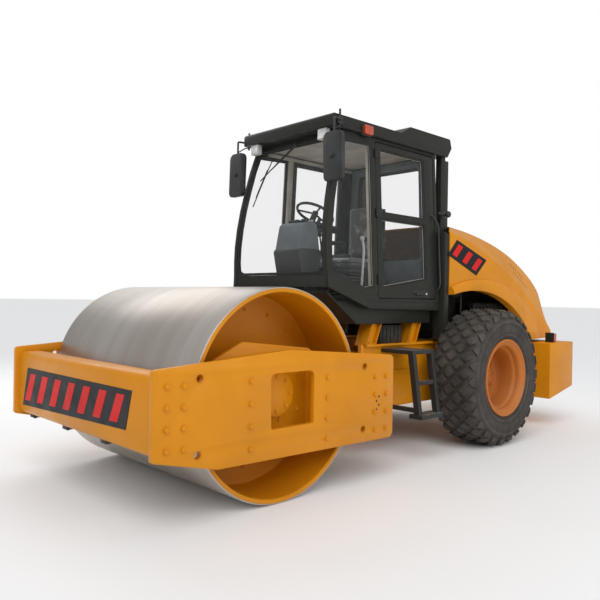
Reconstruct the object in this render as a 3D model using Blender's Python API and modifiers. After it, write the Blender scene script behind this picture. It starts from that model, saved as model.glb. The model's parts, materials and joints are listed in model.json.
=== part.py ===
"""Articulated single-drum road roller, modelled as its real pieces.

Metres, +Z up. The machine drives towards -Y and its left side is +X. Lengths along the machine
are stations: distances behind the drum's axis. The empty station_zero carries every piece and
puts the middle of the machine over the world's origin.
"""
import math

import bmesh
import bpy
from mathutils import Matrix, Vector

# Driving dimensions
GAP = 0.0003            # between pieces that touch
DRUM_RADIUS = 0.80
DRUM_HALF = 1.065       # half of the drum's width
DRUM_SHELL = 0.040
DRUM_WEB = 0.62         # half distance between the outer faces of the drum's webs
DRUM_SIDES = 56
WHEELBASE = 3.05
TYRE_RADIUS = 0.72
TYRE_MIDDLE = 0.94      # half track
TYRE_HALF = 0.272       # half of a tyre's width
TYRE_SIDES = 36
SIDE_OUT = 1.143        # outer face of the drum frame's side plates
SIDE_PLATE = 0.040
SIDE_IN = SIDE_OUT - SIDE_PLATE
NOSE = -1.135           # station of the front edge of the side plates
TAIL = 5.05             # station of the back of the counterweight
PIVOT = 1.52            # station of the articulation pin
SWING_Z = 0.74          # height of the swing axis between the two frames
CYLINDER_Z = 0.70       # height of the steering cylinders
FRAME_WALL = 0.55       # outer face of the rear frame's walls
FRAME_LOW, FRAME_TOP = 0.45, 1.08
CAB_FOOT_X, CAB_FOOT_Z = 0.685, 1.41
CAB_LEAN = math.radians(3.1)
CAB_PANEL = 0.045
CAB_BACK = 2.54
CAB_TOP = 3.055
FLOOR_TOP = 1.50
ROOF_HALF = 0.625
POST_FRONT, POST_BACK = 2.66, 2.79
HOOD_SIDE = 0.75
HOOD_FRONT = 2.62       # station of the front edge of the bonnet's sides
HOOD_CHEEK = 0.615      # inner edge of the strips that close the bonnet's front corners
HOOD_LOW = 1.06
ARCH_LENGTH, ARCH_HEIGHT = 1.34, 0.91    # half axes of the wheel arch, about the axle
HOOD_SKIN = 0.012

# A round piece stands on one of its flats, so its axis is a little lower than its radius.
DRUM_Z = DRUM_RADIUS * math.cos(math.pi / DRUM_SIDES)
AXLE_Z = TYRE_RADIUS * math.cos(math.pi / TYRE_SIDES)
AXLE = WHEELBASE
STATION_ZERO = -(NOSE + TAIL) / 2

FINISHES = {
    # name: colour, roughness, metallic
    "yellow": ((0.66, 0.27, 0.012), 0.40, 0.0),
    "rim_orange": ((0.70, 0.20, 0.03), 0.45, 0.0),
    "steel": ((0.34, 0.31, 0.28), 0.38, 1.0),
    "black_steel": ((0.02, 0.022, 0.02), 0.5, 0.0),
    "cab_grey": ((0.045, 0.05, 0.042), 0.45, 0.0),
    "chrome": ((0.75, 0.75, 0.75), 0.15, 1.0),
    "tyre": ((0.045, 0.038, 0.032), 0.9, 0.0),
    "glass": ((0.55, 0.58, 0.56), 0.05, 0.0),
    "grey_plastic": ((0.09, 0.10, 0.10), 0.6, 0.0),
    "seat": ((0.10, 0.10, 0.10), 0.7, 0.0),
    "engine": ((0.03, 0.03, 0.03), 0.6, 0.2),
    "lamp_red": ((0.8, 0.09, 0.02), 0.3, 0.0),
    "lamp_white": ((0.85, 0.84, 0.8), 0.3, 0.0),
}


# ---------------------------------------------------------------- scene and helpers

def clear_scene():
    for leftover in list(bpy.data.objects):
        bpy.data.objects.remove(leftover, do_unlink=True)
    for name in ("road_roller", "cutters"):
        bpy.context.scene.collection.children.link(bpy.data.collections.new(name))
    zero = bpy.data.objects.new("station_zero", None)
    zero.location = (0.0, STATION_ZERO, 0.0)
    bpy.data.collections["road_roller"].objects.link(zero)


def finish_material(name):
    found = bpy.data.materials.get(name)
    if found:
        return found
    colour, roughness, metallic = FINISHES[name]
    made = bpy.data.materials.new(name)
    made.use_nodes = True
    shader = made.node_tree.nodes["Principled BSDF"]
    shader.inputs["Base Color"].default_value = (*colour, 1.0)
    shader.inputs["Roughness"].default_value = roughness
    shader.inputs["Metallic"].default_value = metallic
    return made


def place(piece, collection="road_roller"):
    """Puts an object in one collection only."""
    for other in list(piece.users_collection):
        other.objects.unlink(piece)
    bpy.data.collections[collection].objects.link(piece)
    return piece


def piece_from_mesh(name, mesh):
    return place(bpy.data.objects.new(name, mesh))


def box(name, low, high):
    low, high = Vector(low), Vector(high)
    bpy.ops.mesh.primitive_cube_add(size=1.0)
    made = bpy.context.active_object
    made.name = made.data.name = name
    made.data.transform(Matrix.Translation((low + high) / 2) @ Matrix.Diagonal((*(high - low), 1.0)))
    return place(made)


def cylinder(name, radius, start, end, sides=24):
    """A round bar from start to end."""
    start, end = Vector(start), Vector(end)
    bpy.ops.mesh.primitive_cylinder_add(vertices=sides, radius=radius, depth=(end - start).length)
    made = bpy.context.active_object
    made.name = made.data.name = name
    turn = (end - start).to_track_quat("Z", "Y").to_matrix().to_4x4()
    made.data.transform(Matrix.Translation((start + end) / 2) @ turn)
    return place(made)


def to_mesh(curve_object):
    """Swaps a curve object for the mesh it draws, with its caps welded on."""
    graph = bpy.context.evaluated_depsgraph_get()
    mesh = bpy.data.meshes.new_from_object(curve_object.evaluated_get(graph))
    work = bmesh.new()
    work.from_mesh(mesh)
    bmesh.ops.remove_doubles(work, verts=work.verts, dist=1e-5)
    bmesh.ops.recalc_face_normals(work, faces=work.faces)
    work.to_mesh(mesh)
    work.free()
    mesh.transform(curve_object.matrix_world)
    name, data = curve_object.name, curve_object.data
    bpy.data.objects.remove(curve_object)
    bpy.data.curves.remove(data)
    mesh.materials.clear()
    made = piece_from_mesh(name, mesh)
    mesh.name = name
    return made


def rounded(corners, steps=4):
    """Corner points (a, b, radius) to an outline whose corners are arcs."""
    outline = []
    for index, (a, b, radius) in enumerate(corners):
        corner = Vector((a, b))
        if radius == 0:
            outline.append(tuple(corner))
            continue
        before = (Vector(corners[index - 1][:2]) - corner).normalized()
        after = (Vector(corners[(index + 1) % len(corners)][:2]) - corner).normalized()
        half = before.angle(after) / 2
        middle = corner + (before + after).normalized() * radius / math.sin(half)
        first = corner + before * radius / math.tan(half) - middle
        last = corner + after * radius / math.tan(half) - middle
        sweep = first.angle_signed(last)
        for step in range(steps + 1):
            turned_by = first.copy()
            turned_by.rotate(Matrix.Rotation(-sweep * step / steps, 2))
            outline.append(tuple(middle + turned_by))
    return outline


def circle(a, b, radius, sides=16):
    turns = [2 * math.pi * (k + 0.5) / sides for k in range(sides)]
    return [(a + radius * math.cos(turn), b + radius * math.sin(turn)) for turn in turns]


# Columns say where the outline's two directions and its thickness point.
PLANES = {
    "YZ": Matrix(((0, 0, 1, 0), (1, 0, 0, 0), (0, 1, 0, 0), (0, 0, 0, 1))),
    "ZX": Matrix(((0, 1, 0, 0), (0, 0, 1, 0), (1, 0, 0, 0), (0, 0, 0, 1))),
    "XY": Matrix.Identity(4),
}


def plate(name, plane, outlines, low, high):
    """A flat piece: the first outline is its edge and the others are holes."""
    flat = bpy.data.curves.new(name, "CURVE")
    flat.dimensions = "2D"
    flat.fill_mode = "BOTH"
    flat.extrude = (high - low) / 2
    for outline in outlines:
        spline = flat.splines.new("POLY")
        spline.points.add(len(outline) - 1)
        for point, (a, b) in zip(spline.points, outline):
            point.co = (a, b, 0.0, 1.0)
        spline.use_cyclic_u = True
    drawn = place(bpy.data.objects.new(name, flat))
    drawn.matrix_world = PLANES[plane] @ Matrix.Translation((0, 0, (low + high) / 2))
    bpy.context.view_layer.update()
    return to_mesh(drawn)


def turned(name, profile, sides, closed=True):
    """A turned solid on +Z. The profile (radius, height) runs down its outer side."""
    mesh = bpy.data.meshes.new(name)
    points = [(radius, 0.0, height) for radius, height in profile]
    edges = [(k, k + 1) for k in range(len(points) - 1)]
    if closed:
        edges.append((len(points) - 1, 0))
    mesh.from_pydata(points, edges, [])
    made = piece_from_mesh(name, mesh)
    screw = made.modifiers.new("turn", "SCREW")
    screw.steps = screw.render_steps = sides
    screw.use_merge_vertices = True
    screw.merge_threshold = 0.0001
    screw.use_smooth_shade = True
    return made


def half_step_turn(sides):
    """Puts a flat of a turned piece at its bottom."""
    return Matrix.Rotation(math.pi / sides, 4, "Z")


AXIS_TO_X = Matrix.Rotation(math.pi / 2, 4, "Y")
AXIS_TO_MINUS_X = Matrix.Rotation(-math.pi / 2, 4, "Y")
AXIS_TO_Y = Matrix.Rotation(-math.pi / 2, 4, "X")


def combine(target, others, operation):
    """Joins or cuts target with others, which become hidden helpers."""
    for other in others:
        change = target.modifiers.new(other.name, "BOOLEAN")
        change.operation = operation
        change.solver = "EXACT"
        change.object = other
        place(other, "cutters")
        other.hide_render = True
        other.display_type = "WIRE"
    return target


def weld(target, *others):
    return combine(target, others, "UNION")


def cut(target, *others):
    return combine(target, others, "DIFFERENCE")


def bake(piece):
    """Turns a piece's modifiers into plain mesh, so that it can be moved or mirrored."""
    bpy.context.view_layer.update()
    graph = bpy.context.evaluated_depsgraph_get()
    mesh = bpy.data.meshes.new_from_object(piece.evaluated_get(graph))
    piece.modifiers.clear()
    piece.data = mesh
    mesh.name = piece.name
    return piece


def mirrored(piece, name):
    """The same piece on the machine's other side."""
    mesh = piece.data.copy()
    mesh.name = name
    mesh.transform(Matrix.Diagonal((-1.0, 1.0, 1.0, 1.0)))
    mesh.flip_normals()
    return piece_from_mesh(name, mesh)


def lean(piece):
    """Leans a piece of the cab's left side inwards about the side's foot."""
    foot = Matrix.Translation((CAB_FOOT_X, 0.0, CAB_FOOT_Z))
    piece.data.transform(foot @ Matrix.Rotation(-CAB_LEAN, 4, "Y") @ foot.inverted())
    return piece


def side_x(height):
    """Where the leaning outer face of the cab's side is at a height."""
    return CAB_FOOT_X - (height - CAB_FOOT_Z) * math.tan(CAB_LEAN)


def coat(finish, *pieces):
    for piece in pieces:
        piece.data.materials.append(finish_material(finish))
        if piece.type == "MESH" and piece.data.polygons:
            piece.data.shade_smooth()
            piece.data.set_sharp_from_angle(angle=math.radians(35))


def carry(origin_name, location, pieces):
    """Hangs pieces on an empty that stands on their joint's axis."""
    axis = bpy.data.objects.new(origin_name, None)
    axis.location = location
    place(axis)
    axis.parent = bpy.data.objects["station_zero"]
    for piece in pieces:
        piece.parent = axis
        piece.matrix_parent_inverse = Matrix.Translation(-Vector(location))


# ---------------------------------------------------------------- drum frame

def side_plates():
    edge = rounded([
        # station, height, corner radius
        (NOSE, 0.49, 0.02),
        (NOSE, 1.058, 0.03),
        (0.0, 1.137, 0.4),
        (1.20, 1.045, 0.05),
        (1.20, 0.345, 0.05),
        (-0.64, 0.372, 0.05),
    ])
    window = rounded([(-0.125, 0.58, 0.02), (-0.19, 0.97, 0.06), (0.25, 0.975, 0.02), (0.25, 0.575, 0.01)])
    tie_holes = [circle(station, height, 0.033) for station, height in
                 ((-0.79, 0.985), (-0.80, 0.49), (0.83, 0.965), (0.82, 0.455))]
    left = plate("side_plate_left", "YZ", [edge, window, *tie_holes], SIDE_IN, SIDE_OUT)
    right = mirrored(left, "side_plate_right")
    coat("yellow", left, right)
    return [left, right]


def cross_beams():
    inside = SIDE_IN - GAP
    front = plate("front_beam", "YZ", [rounded([
        (-1.105, 0.50, 0.05), (-1.105, 1.02, 0.05), (-0.93, 1.02, 0.015), (-0.93, 0.50, 0.015)])],
        -inside, inside)
    rear = plate("rear_beam", "YZ", [rounded([
        (0.93, 0.42, 0.02), (0.93, 0.98, 0.02), (1.17, 0.98, 0.02), (1.17, 0.42, 0.02)])],
        -inside, inside)
    coat("yellow", front, rear)
    return [front, rear]


def scrapers():
    front = box("front_scraper", (-1.0, -0.95, 0.445), (1.0, -0.735, 0.47))
    for number, x in enumerate((-0.97, -0.32, 0.32, 0.97)):
        weld(front, box(f"front_bracket_{number}", (x - 0.04, -1.04, 0.46), (x + 0.04, -0.90, 0.50 - GAP)))
    rear = box("rear_scraper", (-1.0, 0.685, 0.335), (1.0, 0.985, 0.36))
    for number, x in enumerate((-0.97, -0.32, 0.32, 0.97)):
        weld(rear, box(f"rear_bracket_{number}", (x - 0.04, 0.94, 0.35), (x + 0.04, 1.02, 0.42 - GAP)))
    coat("black_steel", front, rear)
    return [front, rear]


def drum_supports():
    """Carrier bolted inside a side plate, its rubber-mounted disc and the drum's journal."""
    left = plate("drum_support_left", "YZ", [rounded([
        (-0.55, 0.43, 0.03), (-0.62, 1.04, 0.03), (-0.30, 1.195, 0.10), (0.36, 1.125, 0.08), (0.52, 1.02, 0.03),
        (0.52, 0.43, 0.03)])],
        0.93, 0.96)
    for name, start, end in (("front_web", -0.43, -0.31), ("rear_web", 0.335, 0.455)):
        weld(left, box(name, (0.95, start, 0.45), (SIDE_IN - GAP, end, 1.0)))
    for number, (station, height) in enumerate(((-0.19, -0.19), (-0.19, 0.19), (0.19, -0.19), (0.19, 0.19))):
        weld(left, cylinder(f"buffer_{number}", 0.07, (0.71, station, DRUM_Z + height),
                            (0.94, station, DRUM_Z + height), 12))
    weld(left,
         cylinder("carrier_disc", 0.34, (0.69, 0, DRUM_Z), (0.72, 0, DRUM_Z), 28),
         cylinder("journal", 0.12, (0.42, 0, DRUM_Z), (0.70, 0, DRUM_Z), 24),
         cylinder("bearing_cap", 0.17, (0.95, 0, DRUM_Z), (1.0, 0, DRUM_Z), 16))
    bake(left)
    right = mirrored(left, "drum_support_right")
    coat("yellow", left, right)
    return [left, right]


def swing_bearing():
    """Round housing on the rear beam in which the hitch's journal swings."""
    start, end = 1.17 + GAP, 1.27
    housing = turned("swing_bearing", [
        # radius, distance behind the rear beam
        (0.20, end - start), (0.20, 0.03), (0.26, 0.03), (0.26, 0.0),
        (0.0, 0.0), (0.0, 0.02), (0.102, 0.02), (0.102, end - start)], 24, closed=True)
    bake(housing).data.transform(Matrix.Translation((0, start, SWING_Z)) @ AXIS_TO_Y)
    coat("yellow", housing)
    return housing


def drum():
    recess, bore, floor = DRUM_RADIUS - DRUM_SHELL, 0.122, 0.40
    half = [(0.0, floor), (bore, floor), (bore, DRUM_WEB), (recess, DRUM_WEB), (recess, DRUM_HALF),
            (DRUM_RADIUS, DRUM_HALF)]
    profile = half + [(radius, -height) for radius, height in reversed(half)]
    shell = turned("drum", profile, DRUM_SIDES, closed=False)
    bake(shell).data.transform(Matrix.Translation((0, 0, DRUM_Z)) @ AXIS_TO_X @ half_step_turn(DRUM_SIDES))
    coat("steel", shell)
    return shell


# ---------------------------------------------------------------- articulation

HITCH_LOW, HITCH_TOP = 0.56, 0.92
EYE_X, EYE_STATION = 0.28, 1.40
HEEL_X, HEEL_STATION = 0.36, 2.08
BARREL_START, BARREL_END, ROD_LENGTH = 0.08, 0.42, 0.43
CLEVIS_HALF = 0.040     # half of the opening of a cylinder's clevis


def centre_hitch():
    hitch = box("centre_hitch", (-0.13, 1.285, HITCH_LOW), (0.13, 1.60, HITCH_TOP))
    for name, low in (("lower_arm", CYLINDER_Z - CLEVIS_HALF - 0.03), ("upper_arm", CYLINDER_Z + CLEVIS_HALF)):
        weld(hitch, plate(name, "XY", [rounded([
            (-0.36, 1.34, 0.04), (-0.36, 1.45, 0.04), (0.36, 1.45, 0.04), (0.36, 1.34, 0.04)])], low, low + 0.03))
    weld(hitch, cylinder("swing_journal", 0.10, (0, 1.195, SWING_Z), (0, 1.30, SWING_Z), 24))
    cut(hitch, cylinder("pin_bore", 0.0715, (0, PIVOT, 0.4), (0, PIVOT, 1.1), 24))
    coat("yellow", hitch)
    return hitch


def articulation_pin():
    pin = turned("articulation_pin", [
        # radius, height
        (0.0, 1.015), (0.10, 1.015), (0.10, 0.985 + GAP), (0.070, 0.985 + GAP),
        (0.070, 0.495 - GAP), (0.09, 0.495 - GAP), (0.09, 0.465), (0.0, 0.465)], 24, closed=False)
    bake(pin).data.transform(Matrix.Translation((0, PIVOT, 0)))
    coat("black_steel", pin)
    return pin


def steering_cylinder(side, sign):
    """Barrel and rod. Their line runs from the heel on the rear frame to the eye on the hitch."""
    heel = Vector((sign * HEEL_X, HEEL_STATION, CYLINDER_Z))
    eye = Vector((sign * EYE_X, EYE_STATION, CYLINDER_Z))
    along = (eye - heel).normalized()
    up = Vector((0, 0, 0.033))
    barrel = cylinder(f"steering_barrel_{side}", 0.05, heel + along * BARREL_START, heel + along * BARREL_END, 16)
    weld(barrel,
         cylinder(f"heel_neck_{side}", 0.026, heel, heel + along * (BARREL_START + 0.01), 12),
         cylinder(f"heel_boss_{side}", 0.05, heel - up, heel + up, 16))
    cut(barrel, cylinder(f"barrel_bore_{side}", 0.031, heel + along * (BARREL_START + 0.01),
                         heel + along * (BARREL_END + 0.1), 16))
    rod = cylinder(f"steering_rod_{side}", 0.027, eye - along * ROD_LENGTH, eye, 16)
    weld(rod, cylinder(f"eye_boss_{side}", 0.045, eye - up, eye + up, 16))
    coat("black_steel", barrel)
    coat("chrome", rod)
    carry(f"steering_heel_{side}", heel, [barrel, rod])


# ---------------------------------------------------------------- rear frame

BULKHEAD = 2.15
FRAME_PLATE = 0.04


def rear_frame():
    end = 4.42 - GAP
    frame = box("rear_frame", (-FRAME_WALL, BULKHEAD, FRAME_LOW), (FRAME_WALL, end, FRAME_TOP))
    cut(frame, box("frame_inside", (-FRAME_WALL + FRAME_PLATE, BULKHEAD + 0.03, 0.0),
                   (FRAME_WALL - FRAME_PLATE, end - 0.04, FRAME_TOP - 0.03)))
    for name, side in (("left", 1), ("right", -1)):
        near, far = sorted((side * (FRAME_WALL - FRAME_PLATE), side * FRAME_WALL))
        weld(frame, box(f"front_wall_{name}", (near, 1.46, FRAME_LOW), (far, BULKHEAD + 0.02, FRAME_TOP)))
        flange = sorted((side * (FRAME_WALL - 0.02), side * (FRAME_WALL + 0.035)))
        weld(frame, box(f"top_flange_{name}", (flange[0], 1.50, FRAME_TOP - 0.02), (flange[1], 2.82, FRAME_TOP)))
        rail = sorted((side * (FRAME_WALL - 0.02), side * (FRAME_WALL + 0.025)))
        weld(frame, box(f"side_rail_{name}", (rail[0], 1.50, 0.785), (rail[1], 2.36, 0.81)))
        post_foot = sorted((side * 0.50, side * 0.605))
        weld(frame, box(f"post_foot_{name}", (post_foot[0], POST_FRONT - 0.03, FRAME_TOP - 0.03),
                        (post_foot[1], POST_BACK + 0.03, FRAME_TOP)))
        bracket_x = sorted((side * 0.43, side * 0.55))
        for number, station in enumerate((1.50, 2.14)):
            weld(frame, plate(f"cab_bracket_{name}_{number}", "YZ", [[
                (station, FRAME_TOP - 0.01), (station + 0.13, FRAME_TOP - 0.01),
                (station + 0.21, 1.28 - GAP), (station + 0.08, 1.28 - GAP)]], *bracket_x))
        clevis = sorted((side * (HEEL_X - 0.06), side * (HEEL_X + 0.06)))
        for where, low in (("low", CYLINDER_Z - CLEVIS_HALF - 0.03), ("high", CYLINDER_Z + CLEVIS_HALF)):
            weld(frame, box(f"heel_clevis_{name}_{where}", (clevis[0], 2.03, low),
                            (clevis[1], BULKHEAD + 0.01, low + 0.03)))
    for name, low in (("lower_ear", 0.495), ("upper_ear", 0.925)):
        tongue = [(0.20, BULKHEAD + 0.01), (-0.20, BULKHEAD + 0.01)]
        tongue += [(0.15 * math.cos(turn), PIVOT + 0.15 * math.sin(turn))
                   for turn in (math.pi * (1 + k / 10) for k in range(11))]
        hole = circle(0.0, PIVOT, 0.0712, 24)
        weld(frame, plate(name, "XY", [tongue, hole], low, low + 0.06))
    weld(frame, box("fork_web", (-0.15, 1.82, 0.50), (0.15, BULKHEAD + 0.01, 0.98)))
    cut(frame, cylinder("axle_hole", 0.104, (-0.8, AXLE, AXLE_Z), (0.8, AXLE, AXLE_Z), 20))
    coat("yellow", frame)
    return frame


def rear_axle():
    """Axle tube with its final-drive housing in the middle and a stub for each wheel."""
    flange = TYRE_MIDDLE - 0.205        # face that the wheel's disc stands against
    half = [(0.0, flange + 0.055), (0.058, flange + 0.055), (0.058, flange), (0.19, flange),
            (0.19, flange - 0.035), (0.10, flange - 0.065), (0.10, 0.24), (0.22, 0.16)]
    profile = half + [(radius, -height) for radius, height in reversed(half)]
    axle = turned("rear_axle", profile, 20, closed=False)
    bake(axle).data.transform(Matrix.Translation((0, AXLE, AXLE_Z)) @ AXIS_TO_X)
    coat("black_steel", axle)
    return axle


def engine_block():
    block = box("engine_block", (-0.30, 2.98, FRAME_TOP + GAP), (0.30, 4.05, 1.78))
    coat("engine", block)
    return block


def counterweight():
    block = plate("counterweight", "YZ", [rounded([
        (4.42, 0.34, 0.01), (4.42, 1.02, 0.01), (TAIL, 1.02, 0.02), (TAIL, 0.46, 0.02)], 3)], -1.0, 1.0)
    coat("yellow", block)
    return block


def wheel_pieces(side, sign):
    """Tyre and rim, turned on one axis. Heights run outboard from the tyre's middle."""
    tyre_half = [(TYRE_RADIUS, 0.19), (0.70, 0.235), (0.60, TYRE_HALF), (0.48, 0.26), (0.40, 0.225), (0.3503, 0.215)]
    tyre_profile = [tyre_half[0]] + [(radius, -height) for radius, height in tyre_half] + tyre_half[:0:-1]
    tyre = turned(f"tyre_{side}", tyre_profile, TYRE_SIDES)
    rim = turned(f"rim_{side}", [
        # radius, height: hub, dish, outboard flange, barrel, inboard flange, back
        (0.0, -0.10), (0.11, -0.10), (0.12, -0.16), (0.28, -0.16), (0.315, -0.13), (0.315, 0.19),
        (0.345, 0.235), (0.385, 0.248), (0.405, 0.243), (0.405, 0.2285), (0.3995, 0.2265),
        (0.3495, 0.2165), (0.3495, -0.2165), (0.3995, -0.2265), (0.405, -0.2285), (0.405, -0.243),
        (0.34, -0.243), (0.31, -0.20), (0.062, -0.20), (0.062, -0.13), (0.0, -0.13)], TYRE_SIDES, closed=False)
    turn = AXIS_TO_X if sign > 0 else AXIS_TO_MINUS_X
    for piece in (tyre, rim):
        bake(piece).data.transform(Matrix.Translation((sign * TYRE_MIDDLE, AXLE, AXLE_Z)) @ turn
                                   @ half_step_turn(TYRE_SIDES))
    coat("tyre", tyre)
    coat("rim_orange", rim)
    carry(f"wheel_axis_{side}", (sign * TYRE_MIDDLE, AXLE, AXLE_Z), [tyre, rim])


def ladders():
    left = box("ladder_left", (FRAME_WALL + GAP, 1.76, 1.0), (0.93, 2.10, 1.035))
    for name, start in (("front", 1.76), ("rear", 2.05)):
        weld(left, plate(f"stringer_{name}", "ZX", [[(1.03, 0.87), (1.03, 0.93), (0.42, 1.02), (0.42, 0.96)]],
                         start, start + 0.05))
    weld(left,
         box("rung", (0.915, 1.78, 0.71), (0.965, 2.08, 0.745)),
         box("bottom_step", (0.90, 1.76, 0.40), (1.05, 2.10, 0.44)),
         box("lower_tie", (FRAME_WALL + GAP, 1.76, 0.46), (1.0, 1.80, 0.50)))
    bake(left)
    right = mirrored(left, "ladder_right")
    coat("black_steel", left, right)


# ---------------------------------------------------------------- bonnet

BONNET_HINGE = (0.0, 4.98, 1.09)


def bonnet():
    sections = [
        # crease station, crease height, back station, back height, half width at the back
        (HOOD_FRONT, 2.235, 2.83, 2.335, 0.60),
        (3.00, 2.165, 3.10, 2.315, 0.60),
        (3.42, 2.03, 3.50, 2.255, 0.60),
        (3.88, 1.84, 3.98, 2.145, 0.60),
        (4.22, 1.65, 4.30, 2.02, 0.60),
        (4.48, 1.485, 4.56, 1.895, 0.60),
        (4.68, 1.355, 4.80, 1.745, 0.60),
        (4.82, 1.26, 4.93, 1.61, 0.605),
        (4.90, 1.20, 4.95, 1.38, 0.62),
        (4.96, 1.15, 4.975, 1.18, 0.70),
        (4.99, HOOD_LOW, 5.01, HOOD_LOW, 0.72),
    ]
    work = bmesh.new()
    rows = []
    for crease, crease_z, back, back_z, half in sections:
        row = [(0.0, back, back_z + 0.01), (half - 0.06, back, back_z), (half, back, back_z - 0.02),
               (HOOD_SIDE - 0.015, crease, crease_z + 0.015), (HOOD_SIDE, crease, crease_z), (HOOD_SIDE, crease, HOOD_LOW)]
        rows.append([work.verts.new(point) for point in row])
    for ahead, behind in zip(rows, rows[1:]):
        for k in range(len(ahead) - 1):
            corners = (ahead[k], ahead[k + 1], behind[k + 1], behind[k])
            work.faces.new(corners)
    bmesh.ops.remove_doubles(work, verts=work.verts, dist=1e-5)
    bmesh.ops.dissolve_degenerate(work, edges=work.edges, dist=1e-5)
    mesh = bpy.data.meshes.new("bonnet")
    work.to_mesh(mesh)
    work.free()
    hood = piece_from_mesh("bonnet", mesh)
    both = hood.modifiers.new("both_sides", "MIRROR")
    both.merge_threshold = 0.0001
    skin = hood.modifiers.new("skin", "SOLIDIFY")
    skin.thickness = HOOD_SKIN
    skin.offset = -1
    skin.use_even_offset = True
    for name, side in (("left", 1), ("right", -1)):
        near, far = sorted((side * HOOD_CHEEK, side * (HOOD_SIDE - HOOD_SKIN / 2)))
        weld(hood, box(f"cheek_{name}", (near, HOOD_FRONT, 1.3), (far, HOOD_FRONT + HOOD_SKIN, 2.19)))
    arch_points = [(AXLE + ARCH_LENGTH * math.cos(turn), AXLE_Z + ARCH_HEIGHT * math.sin(turn))
                   for turn in (2 * math.pi * k / 64 for k in range(64))]
    cut(hood, plate("wheel_arch", "YZ", [arch_points], -1.0, 1.0))
    coat("yellow", hood)
    carry("bonnet_hinge", BONNET_HINGE, [hood])


def tail_lamps():
    for side, sign in (("left", 1), ("right", -1)):
        near, far = sorted((sign * 0.86, sign * 0.96))
        lamp = box(f"tail_lamp_{side}", (near, 4.60, 1.02 + GAP), (far, 4.68, 1.13))
        coat("lamp_red", lamp)


# ---------------------------------------------------------------- cab

WINDSCREEN_LINE = [
    # station, height along the front pillars
    (0.87, 1.73), (0.862, 1.87), (0.862, 2.02), (0.878, 2.20), (0.91, 2.40), (0.952, 2.58), (1.01, 2.80), (1.078, 3.0),
]
DOOR_FRONT, DOOR_BACK, DOOR_LOW, DOOR_TOP = 1.56, 2.485, 1.53, 3.02
CAB_FRONT_LOW = 1.62


def cab_frame():
    """Welded cab: two leaning sides with their openings, front panel, headers and back wall."""
    edge = [(0.87, CAB_FRONT_LOW), *WINDSCREEN_LINE, (1.098, CAB_TOP - GAP), (CAB_BACK, CAB_TOP - GAP),
            (CAB_BACK, 1.41), (1.42, 1.43)]
    quarter = [(station + 0.055, height) for station, height in WINDSCREEN_LINE[1:-1]]
    quarter = [(0.93, 1.765), *quarter, (1.125, 2.97), (1.50, 2.985), (1.50, 1.63), (1.36, 1.61)]
    gap = 0.008
    door_hole = rounded([
        (DOOR_FRONT - gap, DOOR_LOW - gap, 0.02), (DOOR_FRONT - gap, DOOR_TOP + gap, 0.02),
        (DOOR_BACK + gap, DOOR_TOP + gap, 0.02), (DOOR_BACK + gap, DOOR_LOW - gap, 0.02)], 2)
    left = plate("cab_frame", "YZ", [edge, quarter, door_hole], CAB_FOOT_X - CAB_PANEL, CAB_FOOT_X)
    lean(left)
    right = mirrored(left, "right_side")
    inner = side_x(CAB_FOOT_Z) - 0.02
    front = box("front_panel", (-inner, 0.875, CAB_FRONT_LOW), (inner, 0.91, 1.73))
    header = box("front_header", (-0.57, 1.09, 3.0), (0.57, 1.16, CAB_TOP - GAP))
    back = plate("back_wall", "ZX", [
        [(1.45, -0.66), (1.45, 0.66), (CAB_TOP - GAP, 0.57), (CAB_TOP - GAP, -0.57)],
        rounded([(1.95, -0.46, 0.05), (1.95, 0.46, 0.05), (2.93, 0.42, 0.05), (2.93, -0.42, 0.05)], 3)],
        CAB_BACK - 0.045, CAB_BACK - 0.005)
    weld(left, right, front, header, back)
    coat("cab_grey", left)
    return left


def cab_floor():
    floor = plate("cab_floor", "YZ", [[
        (0.93, 1.60), (0.93, 1.56), (1.34, 1.28), (2.49, 1.28), (2.49, FLOOR_TOP), (1.06, FLOOR_TOP)]], -0.60, 0.60)
    coat("cab_grey", floor)


def cab_roof():
    roof = plate("cab_roof", "YZ", [rounded([
        (0.94, CAB_TOP, 0.01), (0.94, 3.17, 0.03), (1.93, 3.17, 0.0), (2.08, 3.255, 0.0), (2.78, 3.255, 0.02),
        (2.81, 3.16, 0.01), (2.74, CAB_TOP, 0.01)], 3)], -ROOF_HALF, ROOF_HALF)
    coat("cab_grey", roof)


def rear_posts():
    for side, sign in (("left", 1), ("right", -1)):
        near, far = sorted((sign * 0.525, sign * 0.603))
        post = box(f"rear_post_{side}", (near, POST_FRONT, FRAME_TOP + GAP), (far, POST_BACK, CAB_TOP - GAP))
        shave = box(f"post_top_{side}", (near - 0.1, 2.73, 3.02), (far + 0.1, 3.0, 3.3))
        cut(post, shave)
        coat("cab_grey", post)


def windscreen():
    line = [(station + 0.012, height) for station, height in WINDSCREEN_LINE]
    line[0] = (line[0][0], 1.73 + GAP)
    line[-1] = (line[-1][0] - 0.001, 3.0 - GAP)
    work = bmesh.new()
    rows = []
    for station, height in line:
        half = side_x(height) - CAB_PANEL - 0.002
        rows.append([work.verts.new((x, station, height)) for x in (-half, half)])
    for low, high in zip(rows, rows[1:]):
        work.faces.new((low[0], low[1], high[1], high[0]))
    mesh = bpy.data.meshes.new("windscreen")
    work.to_mesh(mesh)
    work.free()
    pane = piece_from_mesh("windscreen", mesh)
    glass = pane.modifiers.new("glass", "SOLIDIFY")
    glass.thickness = 0.006
    glass.offset = -1
    coat("glass", pane)


def pane_x():
    """Inner and outer face of a side pane before it leans."""
    middle = CAB_FOOT_X - CAB_PANEL / 2
    return middle - 0.003, middle + 0.003


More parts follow.
